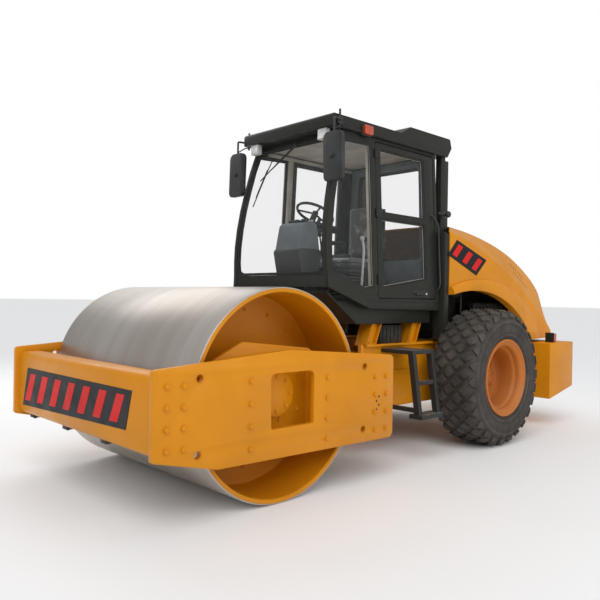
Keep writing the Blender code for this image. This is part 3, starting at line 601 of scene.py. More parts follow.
# Columns say where an outline's two directions and its thickness point.
PLANES = {
    "YZ": Matrix(((0, 0, 1, 0), (1, 0, 0, 0), (0, 1, 0, 0), (0, 0, 0, 1))),
    "ZX": Matrix(((0, 1, 0, 0), (0, 0, 1, 0), (1, 0, 0, 0), (0, 0, 0, 1))),
    "XY": Matrix.Identity(4),
}


def plate(name, plane, outlines, low, high, edge=0.0):
    """A flat piece in stations and heights: the first outline is its edge and the others are holes."""
    flat = bpy.data.curves.new(name, "CURVE")
    flat.dimensions = "2D"
    flat.fill_mode = "BOTH"
    flat.extrude = (high - low) / 2
    for outline in outlines:
        spline = flat.splines.new("POLY")
        spline.points.add(len(outline) - 1)
        for point, (a, b) in zip(spline.points, outline):
            point.co = (a, b, 0.0, 1.0)
        spline.use_cyclic_u = True
    drawn = bpy.data.objects.new(name, flat)
    bpy.context.scene.collection.objects.link(drawn)
    shift = {"YZ": (DRUM_AXIS.y, 0, (low + high) / 2), "ZX": (0, 0, (low + high) / 2 + DRUM_AXIS.y),
             "XY": (0, DRUM_AXIS.y, (low + high) / 2)}[plane]
    drawn.matrix_world = PLANES[plane] @ Matrix.Translation(shift)
    piece = mended(settled(drawn))
    return bevelled(piece, edge) if edge else piece


def tube(name, path, radius, closed=False, sides=5, smooth=False):
    """A round bar along a path."""
    line = bpy.data.curves.new(name, "CURVE")
    line.dimensions = "3D"
    line.bevel_depth = radius
    line.bevel_resolution = sides
    line.use_fill_caps = not closed
    spline = line.splines.new("POLY")
    spline.points.add(len(path) - 1)
    for point, place in zip(spline.points, path):
        point.co = (*place, 1.0)
    spline.use_cyclic_u = closed
    drawn = bpy.data.objects.new(name, line)
    bpy.context.scene.collection.objects.link(drawn)
    return mended(settled(drawn))


def bent(corners, radius, steps=6):
    """A path through corners, rounded like a bent bar."""
    corners = [Vector(corner) for corner in corners]
    path = [corners[0]]
    for before, corner, after in zip(corners, corners[1:], corners[2:]):
        start = corner + (before - corner).normalized() * radius
        end = corner + (after - corner).normalized() * radius
        for step in range(steps + 1):
            t = step / steps
            path.append(start * (1 - t) ** 2 + corner * 2 * t * (1 - t) + end * t ** 2)
    return path + [corners[-1]]


def at(x, station, z):
    return Vector((x, along(station), z))


# ---------------------------------------------------------------- what repeats

class Tree:
    """A Geometry Nodes tree with named sizes, used on a base mesh and then baked."""

    def __init__(self, name, finish, **sizes):
        self.tree = bpy.data.node_groups.new(name, "GeometryNodeTree")
        self.finish = finish
        sockets = self.tree.interface
        sockets.new_socket("Geometry", in_out="OUTPUT", socket_type="NodeSocketGeometry")
        sockets.new_socket("Geometry", in_out="INPUT", socket_type="NodeSocketGeometry")
        self.identifiers = {}
        for label, value in sizes.items():
            kind = "NodeSocketInt" if isinstance(value, int) else "NodeSocketFloat"
            socket = sockets.new_socket(label.replace("_", " "), in_out="INPUT", socket_type=kind)
            socket.default_value = value
            self.identifiers[label] = socket.identifier
        self.given = self.tree.nodes.new("NodeGroupInput")
        self.base = self.given.outputs["Geometry"]

    def size(self, label):
        return self.given.outputs[label.replace("_", " ")]

    def node(self, kind, settings=None, **inputs):
        """A node with its settings and inputs. An input named i0, i1... goes by its place."""
        made = self.tree.nodes.new(kind)
        for name, value in (settings or {}).items():
            setattr(made, name, value)
        for name, value in inputs.items():
            key = int(name[1:]) if name[0] == "i" and name[1:].isdigit() else name.replace("_", " ")
            if isinstance(value, bpy.types.NodeSocket):
                self.tree.links.new(value, made.inputs[key])
            else:
                made.inputs[key].default_value = value
        return made

    def math(self, operation, *values):
        inputs = {f"i{index}": value for index, value in enumerate(values)}
        return self.node("ShaderNodeMath", {"operation": operation}, **inputs).outputs[0]

    def moved(self, geometry, **inputs):
        return self.node("GeometryNodeTransform", Geometry=geometry, **inputs).outputs[0]

    def together(self, *parts):
        join = self.tree.nodes.new("GeometryNodeJoinGeometry")
        for part in parts:
            self.tree.links.new(part, join.inputs[0])
        return join.outputs[0]

    def facing(self):
        """The way each base point faces, as a rotation of +Z."""
        way = self.node("GeometryNodeInputNamedAttribute", {"data_type": "FLOAT_VECTOR"}, Name="facing")
        return self.node("FunctionNodeAlignRotationToVector", {"axis": "Z"}, Vector=way.outputs["Attribute"]).outputs[0]

    def close(self, geometry, shape=None):
        """Ends the tree: real geometry, reshaped if shape is given, with its material."""
        real = self.node("GeometryNodeRealizeInstances", Geometry=geometry).outputs[0]
        real = shape(real) if shape else real
        coated = self.node("GeometryNodeSetMaterial", Geometry=real, Material=bpy.data.materials[self.finish])
        result = self.tree.nodes.new("NodeGroupOutput")
        self.tree.links.new(coated.outputs[0], result.inputs["Geometry"])
        return self

    def made(self, base, **sizes):
        """Runs the tree on a base object and bakes it."""
        use = base.modifiers.new("repeat", "NODES")
        use.node_group = self.tree
        for label, value in sizes.items():
            use[self.identifiers[label]] = value
        return settled(base)


def spots_object(name, spots):
    """A mesh of loose points, each with the way that it faces."""
    mesh = bpy.data.meshes.new(name)
    mesh.from_pydata([tuple(place) for place, _ in spots], [], [])
    facing = mesh.attributes.new("facing", "FLOAT_VECTOR", "POINT")
    facing.data.foreach_set("vector", [value for _, way in spots for value in way])
    return shown(name, mesh)


TREES = {}


def bolt_tree(finish):
    """Hexagon bolts with washers: a head, its chamfered crown and a washer at each point."""
    if finish in TREES:
        return TREES[finish]
    tree = Tree(f"bolts_{finish}", finish, Head=0.017, Washer=0.026)
    head, washer = tree.size("Head"), tree.size("Washer")
    thin = tree.math("MULTIPLY", head, 0.22)
    tall = tree.math("MULTIPLY", head, 0.62)
    lifted = tree.node("ShaderNodeCombineXYZ", Z=tree.math("ADD", thin, tree.math("MULTIPLY", tall, 0.5)))
    half_thin = tree.node("ShaderNodeCombineXYZ", Z=tree.math("MULTIPLY", thin, 0.5))
    top = tree.node("ShaderNodeCombineXYZ", Z=tree.math("ADD", thin, tall))
    ring = tree.node("GeometryNodeMeshCylinder", Vertices=20, Radius=washer, Depth=thin).outputs["Mesh"]
    body = tree.node("GeometryNodeMeshCylinder", Vertices=6, Radius=head, Depth=tall).outputs["Mesh"]
    crown = tree.node("GeometryNodeMeshCone", Vertices=6, Radius_Bottom=head,
                      Radius_Top=tree.math("MULTIPLY", head, 0.80), Depth=tree.math("MULTIPLY", head, 0.14))
    bolt = tree.together(tree.moved(ring, Translation=half_thin.outputs[0]),
                         tree.moved(body, Translation=lifted.outputs[0]),
                         tree.moved(crown.outputs["Mesh"], Translation=top.outputs[0]))
    turn = tree.node("FunctionNodeRandomValue", {"data_type": "FLOAT"}, Max=1.047, Seed=7)
    spun = tree.node("FunctionNodeAxisAngleToRotation", Angle=turn.outputs[1])
    rotation = tree.node("FunctionNodeRotateRotation", {"rotation_space": "LOCAL"}, Rotation=tree.facing(),
                         Rotate_By=spun.outputs[0])
    spread = tree.node("GeometryNodeInstanceOnPoints", Points=tree.base, Instance=bolt, Rotation=rotation.outputs[0])
    TREES[finish] = tree.close(spread.outputs[0])
    return TREES[finish]


def bolts(name, body, finish, spots, head=0.017, washer=None):
    """Bolts at (place, facing) spots, as one piece."""
    base = spots_object(name, spots)
    made = bolt_tree(finish).made(base, Head=head, Washer=washer or head * 1.5)
    return finished(smoothed(made, 30.0), body, finish)


def bolts_both_sides(name, body, finish, spots, head=0.017):
    """Bolts on the left side and their mirror images on the right."""
    mirrored = [(Vector((-p.x, p.y, p.z)), Vector((-w.x, w.y, w.z))) for p, w in spots]
    for side, group in (("left", spots), ("right", mirrored)):
        bolts(name.format(side), body.format(side), finish, group, head)


def bolt_circle(centre, radius, count, way=(1, 0, 0), first=0.0):
    """Spots on a circle round an axis along X."""
    turns = [first + 2 * math.pi * k / count for k in range(count)]
    return [(Vector(centre) + Vector((0, radius * math.cos(t), radius * math.sin(t))), Vector(way)) for t in turns]


# ---------------------------------------------------------------- drum frame

PLATE_EDGE = [
    # station, height, corner radius
    (-1.135, 0.49, 0.02), (-1.135, 1.058, 0.03), (0.0, 1.137, 0.4), (1.20, 1.045, 0.05), (1.20, 0.345, 0.05),
    (-0.64, 0.372, 0.05),
]
PLATE_WINDOW = [(-0.175, 0.575, 0.02), (-0.185, 0.975, 0.05), (0.25, 0.975, 0.05), (0.25, 0.575, 0.01)]
LASHING_HOLES = [(-0.79, 0.985), (-0.80, 0.49), (0.83, 0.965), (0.82, 0.455)]
LASHING_RADIUS = 0.033
BOLT_COLUMNS = [
    # station, lowest bolt, highest bolt
    (-1.04, 0.550, 0.953), (-0.913, 0.546, 0.946), (-0.365, 0.466, 0.936), (0.39, 0.440, 0.912),
    (0.96, 0.436, 0.874), (1.105, 0.434, 0.870),
]
BOLTS_IN_COLUMN = 4


class ROLLER_OT_drum_frame(bpy.types.Operator):
    """Side plates, beams, drum supports and scrapers with broken edges and their bolts"""
    bl_idname = "roller.drum_frame"
    bl_label = "Drum frame"

    def execute(self, context):
        sizes = context.scene.roller_sizes
        holes = [arc(hole, (LASHING_RADIUS,) * 2, 0, 360 - 15, 23) for hole in LASHING_HOLES]
        side = plate("side_plate", "YZ", [rounded(PLATE_EDGE, 10), rounded(PLATE_WINDOW, 8), *holes],
                     SIDE_IN, SIDE_OUT, sizes.bevel)
        both_sides(side, "side_plate_{}_shown", "front_frame", "yellow_paint", "side_plate_{}")
        for node in ("front_beam", "rear_beam", "swing_bearing"):
            finished(softened(node, sizes.bevel), "front_frame", "yellow_paint", node)
        for node in ("drum_support_left", "drum_support_right"):
            finished(softened(node, 0.003), "front_frame", "yellow_paint", node)
        for node in ("front_scraper", "rear_scraper"):
            finished(softened(node, 0.003), "front_frame", "black_paint", node)
        self.bolt_up(sizes)
        self.lift_rings()
        return {"FINISHED"}

    def bolt_up(self, sizes):
        spots = []
        for station, low, high in BOLT_COLUMNS:
            for number in range(BOLTS_IN_COLUMN):
                z = low + (high - low) * number / (BOLTS_IN_COLUMN - 1)
                spots.append((at(SIDE_OUT, station, z), Vector((1, 0, 0))))
        bolts_both_sides("side_plate_bolts_{}", "front_frame", "yellow_paint", spots, sizes.bolt_head)
        taps = [(at(SIDE_OUT, 0.985 + 0.03 * (k % 2), 0.60 + 0.035 * k), Vector((1, 0, 0))) for k in range(4)]
        bolts_both_sides("grease_points_{}", "front_frame", "black_paint", taps, 0.006)
        face = 0.96
        support = [(at(face, s, z), Vector((1, 0, 0))) for s in (-0.24, 0.24) for z in (0.50, 0.66, 0.94)]
        support += bolt_circle((1.0, DRUM_AXIS.y, DRUM_AXIS.z), 0.13, 8)
        support += [(at(face, s, z), Vector((1, 0, 0))) for s in (-0.05, 0.06) for z in (0.60, 0.645)]
        bolts_both_sides("support_bolts_{}", "front_frame", "yellow_paint", support, 0.014)
        scraper = [(at(x, s, z), Vector((0, 0, -1)))
                   for x in (-0.97, -0.32, 0.32, 0.97) for s, z in ((-1.01, 0.46), (0.96, 0.35))]
        bolts("scraper_bolts", "front_frame", "bare_steel", scraper, 0.012)

    def lift_rings(self):
        """Turned bushes that line the lashing holes."""
        for side, sign in (("left", 1), ("right", -1)):
            rings = [lathe("ring", [(0.027, -0.044), (0.0327, -0.044), (0.0327, 0.0), (0.036, 0.0015), (0.030, 0.003),
                                    (0.027, 0.0)], (sign * SIDE_OUT, along(s), z), 32, (sign, 0, 0))
                     for s, z in LASHING_HOLES]
            finished(joined(f"lashing_rings_{side}", rings), "front_frame", "yellow_paint")


PANEL_CORNERS = [(0.895, -0.90), (0.900, 0.84), (0.635, 0.765), (0.575, -0.995)]    # height, x
BARS = 7


class ROLLER_OT_front_panel(bpy.types.Operator):
    """Black panel with plain slanted bars on the front beam"""
    bl_idname = "roller.front_panel"
    bl_label = "Front panel"

    def execute(self, context):
        face = BEAM_LOW.y - DRUM_AXIS.y
        panel = plate("front_panel_black", "ZX", [PANEL_CORNERS], face - 0.0033, face - GAP)
        finished(panel, "front_frame", "panel_black")
        top_left, top_right, low_right, low_left = (Vector(corner) for corner in PANEL_CORNERS)
        bars = []
        for number in range(BARS):
            corners = []
            for across, up in ((0.10, 0.14), (0.55, 0.14), (0.72, 0.86), (0.27, 0.86)):
                share = (number + across + 0.05) / (BARS + 0.1)
                low, high = low_left.lerp(low_right, share), top_left.lerp(top_right, share)
                corners.append(tuple(low.lerp(high, up)))
            bars.append(plate("bar", "ZX", [corners], face - 0.0045, face - 0.0033 - GAP / 3))
        finished(joined("front_panel_bars", bars), "front_frame", "stripe_red")
        return {"FINISHED"}


# ---------------------------------------------------------------- drum

SHELL = 0.010           # thickness of the bright sleeve
WEB = 0.62              # half distance between the outer faces of the drum's webs


class ROLLER_OT_drum(bpy.types.Operator):
    """Bright sleeve of the drum, its painted inside, webs and bolts"""
    bl_idname = "roller.drum"
    bl_label = "Drum"

    def execute(self, context):
        outer, inner, half = DRUM_RADIUS, DRUM_RADIUS - SHELL, DRUM_HALF
        sleeve = lathe("drum_sleeve", [
            (inner, -half + 0.002), (outer - 0.004, -half + 0.002), (outer, -half + 0.008),
            (outer, half - 0.008), (outer - 0.004, half - 0.002), (inner, half - 0.002)], DRUM_AXIS, 216)
        finished(sleeve, "drum", "steel", "drum")
        lining_out, lining_in = inner - GAP, DRUM_RADIUS - 0.042
        side = [(0.125, 0.40), (0.125, WEB + 0.004), (0.20, WEB + 0.004), (0.20, WEB - 0.012), (0.70, WEB - 0.012),
                (lining_in - 0.012, WEB), (lining_in, WEB + 0.02), (lining_in, half - 0.008),
                (lining_in + 0.006, half), (lining_out - 0.003, half), (lining_out, half - 0.003)]
        # The webs and their hub stand apart from the ring, so that the drum's middle is closed as one piece.
        profile = [(0.0, 0.40)] + side + [(radius, -offset) for radius, offset in reversed(side)] + [(0.0, -0.40)]
        lining = lathe("drum_lining", profile, DRUM_AXIS, 192, closed=False)
        finished(lining, "drum", "yellow_paint")
        centre = Vector((WEB - 0.012, DRUM_AXIS.y, DRUM_AXIS.z))
        spots = bolt_circle(centre, 0.62, 16) + bolt_circle(centre, 0.30, 12, first=0.2)
        bolts_both_sides("drum_web_bolts_{}", "drum", "yellow_paint", spots, 0.013)
        return {"FINISHED"}


# ---------------------------------------------------------------- wheels

TREAD_FLAT = 0.165      # half width of the tread's flat middle
SHOULDER = 0.075        # radius of a tyre's shoulder
SHOULDER_TURN = 1.32    # how far the tread reaches round the shoulder, in radians
CROWN_DROP = 0.007


def tread_tree():
    """Diamond lugs in a staggered net, laid flat, then bent over the crown and round the axle."""
    tree = Tree("tread", "tyre", Rows=26, Columns=7, Pitch=0.086, Groove=0.0215, Lug_Height=0.022,
                Base_Radius=0.695, Root=0.012)
    rows, columns, pitch, base = (tree.size(label) for label in ("Rows", "Columns", "Pitch", "Base Radius"))
    index = tree.node("GeometryNodeInputIndex").outputs[0]
    row = tree.math("FLOOR", tree.math("DIVIDE", index, columns))
    column = tree.math("SUBTRACT", tree.math("FLOORED_MODULO", index, columns),
                       tree.math("FLOOR", tree.math("MULTIPLY", columns, 0.5)))
    odd = tree.math("MODULO", tree.math("ABSOLUTE", column), 2.0)
    round_pitch = tree.math("DIVIDE", tree.math("MULTIPLY", base, 2 * math.pi), rows)
    place = tree.node("ShaderNodeCombineXYZ", X=tree.math("MULTIPLY", column, pitch),
                      Y=tree.math("MULTIPLY", tree.math("MULTIPLY_ADD", odd, 0.5, row), round_pitch))
    points = tree.node("GeometryNodePoints", Count=tree.math("MULTIPLY", rows, columns), Position=place.outputs[0])
    lug = lug_shape(tree)
    spread = tree.node("GeometryNodeInstanceOnPoints", Points=points.outputs[0], Instance=lug)
    return tree.close(spread.outputs[0], lambda geometry: bent_to_tyre(tree, geometry))


def lug_shape(tree):
    """A square lug stood on its corner, with tapered sides and rounded corners. Its root is below the carcass."""
    side = tree.math("MULTIPLY", tree.math("SUBTRACT", tree.size("Pitch"), tree.size("Groove")), math.sqrt(2))
    deep = tree.math("ADD", tree.size("Lug Height"), tree.size("Root"))
    extent = tree.node("ShaderNodeCombineXYZ", X=side, Y=side, Z=deep)
    cube = tree.node("GeometryNodeMeshCube", Size=extent.outputs[0], Vertices_X=4, Vertices_Y=4, Vertices_Z=2)
    apart = tree.node("ShaderNodeSeparateXYZ", Vector=tree.node("GeometryNodeInputPosition").outputs[0])
    x, y, z = apart.outputs
    corner = tree.math("MULTIPLY", tree.math("ABSOLUTE", tree.math("MULTIPLY", x, y)),
                       tree.math("DIVIDE", 4.0, tree.math("MULTIPLY", side, side)))
    shrink = tree.math("SUBTRACT", 1.0, tree.math("MULTIPLY", tree.math("POWER", corner, 4.0), 0.10))
    taper = tree.math("SUBTRACT", 1.0, tree.math("MULTIPLY", tree.math("GREATER_THAN", z, 0.0), 0.14))
    scale = tree.math("MULTIPLY", shrink, taper)
    lifted = tree.math("ADD", z, tree.math("MULTIPLY", tree.math("SUBTRACT", tree.size("Lug Height"),
                                                                  tree.size("Root")), 0.5))
    shaped = tree.node("ShaderNodeCombineXYZ", X=tree.math("MULTIPLY", x, scale), Y=tree.math("MULTIPLY", y, scale),
                       Z=lifted)
    made = tree.node("GeometryNodeSetPosition", Geometry=cube.outputs["Mesh"], Position=shaped.outputs[0])
    return tree.moved(made.outputs[0], Rotation=(0.0, 0.0, math.pi / 4))


def bent_to_tyre(tree, geometry):
    apart = tree.node("ShaderNodeSeparateXYZ", Vector=tree.node("GeometryNodeInputPosition").outputs[0])
    across, around, high = apart.outputs
    reach = TREAD_FLAT + SHOULDER * SHOULDER_TURN
    out = tree.math("MINIMUM", tree.math("ABSOLUTE", across), reach)
    flat = tree.math("MINIMUM", out, TREAD_FLAT)
    turn = tree.math("DIVIDE", tree.math("SUBTRACT", out, flat), SHOULDER)
    drop = tree.math("MULTIPLY", tree.math("POWER", tree.math("DIVIDE", flat, TREAD_FLAT), 2.0), CROWN_DROP)
    arm = tree.math("ADD", high, SHOULDER)
    offset = tree.math("MULTIPLY", tree.math("SIGN", across),
                       tree.math("MULTIPLY_ADD", arm, tree.math("SINE", turn), flat))
    radius = tree.math("MULTIPLY_ADD", arm, tree.math("COSINE", turn),
                       tree.math("SUBTRACT", tree.math("SUBTRACT", tree.size("Base Radius"), drop), SHOULDER))
    angle = tree.math("DIVIDE", around, tree.size("Base Radius"))
    place = tree.node("ShaderNodeCombineXYZ", X=offset, Y=tree.math("MULTIPLY", radius, tree.math("SINE", angle)),
                      Z=tree.math("MULTIPLY", radius, tree.math("COSINE", angle)))
    return tree.node("GeometryNodeSetPosition", Geometry=geometry, Position=place.outputs[0]).outputs[0]


def carcass_half(base):
    """Outer side of a tyre without its lugs, as (radius, offset) from the crown to the bead."""
    crown = [(base - CROWN_DROP * k * k / 16, TREAD_FLAT * k / 4) for k in range(5)]
    centre = (base - CROWN_DROP - SHOULDER, TREAD_FLAT)
    shoulder = [(centre[0] + SHOULDER * math.cos(t), centre[1] + SHOULDER * math.sin(t))
                for t in (SHOULDER_TURN * k / 8 for k in range(1, 9))]
    wall = [(0.600, 0.2575), (0.588, 0.2640), (0.578, 0.2645), (0.572, 0.2605), (0.535, 0.2640), (0.495, 0.2615),
            (0.462, 0.2540), (0.456, 0.2565), (0.446, 0.2560), (0.440, 0.2475), (0.420, 0.2380), (0.4055, 0.2280),
            (0.385, 0.2220), (0.3503, 0.215)]
    return crown + shoulder + wall


RIM_DISC = -0.05            # outboard face of a rim's disc, from the tyre's middle
RIM_HUB = RIM_DISC + 0.075
RIM = [
    # radius, distance outboard of the tyre's middle
    (0.0, RIM_HUB), (0.075, RIM_HUB), (0.092, RIM_HUB - 0.007), (0.100, RIM_HUB - 0.020), (0.104, RIM_DISC + 0.010),
    (0.112, RIM_DISC), (0.262, RIM_DISC), (0.285, RIM_DISC + 0.010), (0.298, RIM_DISC + 0.032),
    (0.302, RIM_DISC + 0.060), (0.304, 0.130), (0.310, 0.150),
    (0.326, 0.165), (0.330, 0.195), (0.336, 0.214), (0.350, 0.226), (0.374, 0.236), (0.380, 0.245),
    (0.389, 0.250), (0.399, 0.248), (0.405, 0.241), (0.405, 0.2285), (0.3995, 0.2265), (0.3495, 0.2165),
    (0.3495, -0.2165), (0.3995, -0.2265), (0.405, -0.2285), (0.405, -0.243), (0.34, -0.243), (0.31, -0.20),
    (0.062, -0.20), (0.062, -0.13), (0.0, -0.13),
]


class ROLLER_OT_wheels(bpy.types.Operator):
    """Tyres with their diamond tread, deep rims and wheel bolts"""
    bl_idname = "roller.wheels"
    bl_label = "Wheels"

    def execute(self, context):
        sizes = context.scene.roller_sizes
        base = TYRE_RADIUS - sizes.lug_height
        half = carcass_half(base)
        profile = half + [(radius, -offset) for radius, offset in reversed(half)][:-1]
        tyre = lathe("tyre", profile, WHEEL_AXIS, 144, angle=50.0)
        both_sides(tyre, "tyre_{}_carcass", "wheel_{}", "tyre", "tyre_{}")
        blank = shown("tread", bpy.data.meshes.new("tread"))
        tread = tread_tree().made(blank, Rows=sizes.lug_rows, Lug_Height=sizes.lug_height, Base_Radius=base)
        tread.data.transform(Matrix.Translation(WHEEL_AXIS))
        both_sides(smoothed(tread, 35.0), "tread_{}", "wheel_{}", "tyre")
        rim = lathe("rim", RIM, WHEEL_AXIS, 128, closed=False)
        both_sides(rim, "rim_{}_dish", "wheel_{}", "rim_paint", "rim_{}")
        centre = WHEEL_AXIS + Vector((RIM_DISC, 0, 0))
        bolts_both_sides("wheel_bolts_{}", "wheel_{}", "rim_paint", bolt_circle(centre, 0.205, 12), 0.017)
        hub = WHEEL_AXIS + Vector((RIM_HUB, 0, 0))
        bolts_both_sides("hub_bolts_{}", "wheel_{}", "rim_paint", bolt_circle(hub, 0.058, 6), 0.008)
        valve = tube("valve", bent([WHEEL_AXIS + Vector((0.02, 0, 0.303)), WHEEL_AXIS + Vector((0.02, 0, 0.285)),
                                    WHEEL_AXIS + Vector((0.07, 0, 0.280))], 0.01), 0.005)
        both_sides(valve, "valve_{}", "wheel_{}", "bare_steel")
        return {"FINISHED"}


# ---------------------------------------------------------------- rear frame

CHANNELS = [(1.50, 0.13), (2.14, 0.13)]     # station of the foot, length
CHANNEL_RAKE = 0.08


class ROLLER_OT_rear_frame(bpy.types.Operator):
    """Rear frame, hitch, axle, engine, counterweight and ladders, with their fittings"""
    bl_idname = "roller.rear_frame"
    bl_label = "Rear frame"

    def execute(self, context):
        bevel = context.scene.roller_sizes.bevel
        finished(softened("rear_frame", 0.003), "rear_frame", "yellow_paint", "rear_frame")
        finished(softened("counterweight", 0.010, 3), "rear_frame", "yellow_paint", "counterweight")
        finished(softened("centre_hitch", bevel), "hitch", "yellow_paint", "centre_hitch")
        finished(softened("articulation_pin", 0.003), "rear_frame", "bare_steel", "articulation_pin")
        finished(softened("rear_axle", 0.003), "rear_frame", "black_paint", "rear_axle")
        finished(softened("engine_block", 0.02, 3), "rear_frame", "engine_black", "engine_block")
        for side in ("left", "right"):
            finished(softened(f"ladder_{side}", 0.005, 3), "rear_frame", "trodden_black", f"ladder_{side}")
            for part, finish in (("barrel", "black_paint"), ("rod", "chrome")):
                node = f"steering_{part}_{side}"
                finished(softened(node, 0.002), node, finish, node)
        self.channels()
        self.machinery()
        self.tail()
        return {"FINISHED"}

    def channels(self):
        """Bright flanges of the raked channels under the cab, and the bolts of the frame's side."""
        flanges = []
        for foot, length in CHANNELS:
            for start in (foot - 0.002, foot + length - 0.006):
                flanges.append(plate("flange", "YZ", [[
                    (start, 1.081), (start + 0.008, 1.081), (start + 0.008 + CHANNEL_RAKE, 1.2795),
                    (start + CHANNEL_RAKE, 1.2795)]], 0.5505, 0.592, 0.0015))
            flanges.append(block("foot", at(0.5505, foot - 0.01, 1.0805), at(0.584, foot + length + 0.01, 1.092), 0.002))
        both_sides(joined("flanges", flanges), "channel_flanges_{}", "rear_frame", "yellow_paint")
        spots = [(at(0.5505, s, z), Vector((1, 0, 0))) for s in (1.56, 1.63, 2.20, 2.27) for z in (0.90, 0.98)]
        spots += [(at(0.567, f + length / 2, 1.092), Vector((0, 0, 1))) for f, length in CHANNELS]
        bolts_both_sides("frame_bolts_{}", "rear_frame", "yellow_paint", spots, 0.011)

    def machinery(self):
        """Tank, cooler, filter and pipes that fill the dark space under the cab and inside the bonnet."""
        parts = [
            block("battery_box", at(0.30, 1.76, FRAME_TOP), at(0.535, 2.10, 1.262), 0.008),
            block("tank", at(0.335, 3.42, FRAME_TOP), at(0.56, 4.10, 1.50), 0.03, 3),
            disc("air_filter", 0.115, at(0.44, 2.72, 1.66), at(0.44, 3.20, 1.66), 0.02),
            disc("filter_cap", 0.085, at(0.44, 2.69, 1.66), at(0.44, 2.725, 1.66), 0.01),
            tube("intake", bent([at(0.44, 3.18, 1.66), at(0.44, 3.36, 1.66), at(0.22, 3.42, 1.70)], 0.08), 0.045),
            tube("down_pipe", bent([at(0.60, 2.78, FRAME_TOP), at(0.60, 2.78, 1.46), at(0.40, 2.90, 1.58)], 0.06), 0.018),
            tube("cross_pipe", bent([at(0.62, 2.86, FRAME_TOP), at(0.62, 2.88, 1.30), at(0.62, 3.30, 1.38),
                                     at(0.45, 3.45, 1.46)], 0.09), 0.022),
            tube("rod", [at(0.61, 3.05, FRAME_TOP), at(0.61, 3.06, 1.86)], 0.010),
        ]
        for number in range(9):
            station = 3.46 + 0.075 * number
            parts.append(block("fin", at(0.5595, station, 1.13), at(0.575, station + 0.02, 1.46), 0.002, 1))
        for number in range(5):
            station = 1.79 + 0.062 * number
            parts.append(block("rib", at(0.5345, station, 1.10), at(0.545, station + 0.03, 1.245), 0.003, 1))
        both_sides(joined("machinery", parts), "machinery_{}", "rear_frame", "engine_black")
        shelf = block("radiator", at(-0.50, 4.16, FRAME_TOP), at(0.50, 4.30, 1.60), 0.01)
        finished(shelf, "rear_frame", "engine_black")

    def tail(self):
        """Edge plates and pins of the counterweight, and the tail lamps."""
        top = COUNTER_HIGH.z
        for side in ("left", "right"):
            node = f"tail_lamp_{side}"
            finished(softened(node, 0.012, 4), "rear_frame", "lamp_red", node)
        holder = block("holder", at(0.855, 4.585, top + GAP), at(0.965, 4.60, top + 0.118), 0.003)
        both_sides(holder, "lamp_holder_{}", "rear_frame", "black_paint")
        spots = [(at(x, COUNTER_BACK, z), Vector((0, 1, 0))) for x in (0.35, 0.75) for z in (0.62, 0.88)]
        bolts_both_sides("counterweight_bolts_{}", "rear_frame", "yellow_paint", spots, 0.020)
        eye = lathe("eye", [(0.030, -0.022), (0.058, -0.022), (0.064, -0.016), (0.064, 0.016), (0.058, 0.022),
                            (0.030, 0.022)], at(0, COUNTER_BACK - 0.03, 0.98), 40, (1, 0, 0))
        cheeks = [block("cheek", at(x - 0.012, COUNTER_BACK - 0.11, top - 0.02), at(x + 0.012, COUNTER_BACK - 0.01, 1.09), 0.006)
                  for x in (-0.05, 0.05)]
        bpy.data.objects.remove(eye, do_unlink=True)
        finished(joined("towing_cheeks", cheeks), "rear_frame", "yellow_paint")


# ---------------------------------------------------------------- bonnet

HOOD_SIDE, HOOD_LOW, HOOD_FRONT = 0.75, 1.06, 2.62
HOOD_SKIN = 0.012
HOOD_SECTIONS = [
    # crease station, crease height, back station, back height, half width at the back
    (2.62, 2.235, 2.83, 2.335, 0.60), (3.00, 2.165, 3.10, 2.315, 0.60), (3.42, 2.03, 3.50, 2.255, 0.60),
    (3.88, 1.84, 3.98, 2.145, 0.60), (4.22, 1.65, 4.30, 2.02, 0.60), (4.48, 1.485, 4.56, 1.895, 0.60),
    (4.68, 1.355, 4.80, 1.745, 0.60), (4.82, 1.26, 4.93, 1.61, 0.605), (4.90, 1.20, 4.95, 1.38, 0.62),
    (4.96, 1.15, 4.975, 1.18, 0.70), (4.99, HOOD_LOW, 5.01, HOOD_LOW, 0.72),
]
ARCH = ((3.05, 0.717), (1.34, 0.91))            # centre and half axes of the wheel opening
RIDGE = ((3.25, 0.72), (1.47, 1.04))            # where the arch's lip leaves the side
LIP = 0.062                                     # how far the lip stands out


def arch_angle(shape, station=None, height=None):
    """Angle of an ellipse at a station ahead of it or at a height behind it, in degrees."""
    (s, z), (a, b) = shape
    if station is not None:
        return math.degrees(math.acos(max(-1.0, (station - s) / a)))
    return math.degrees(math.asin((height - z) / b))


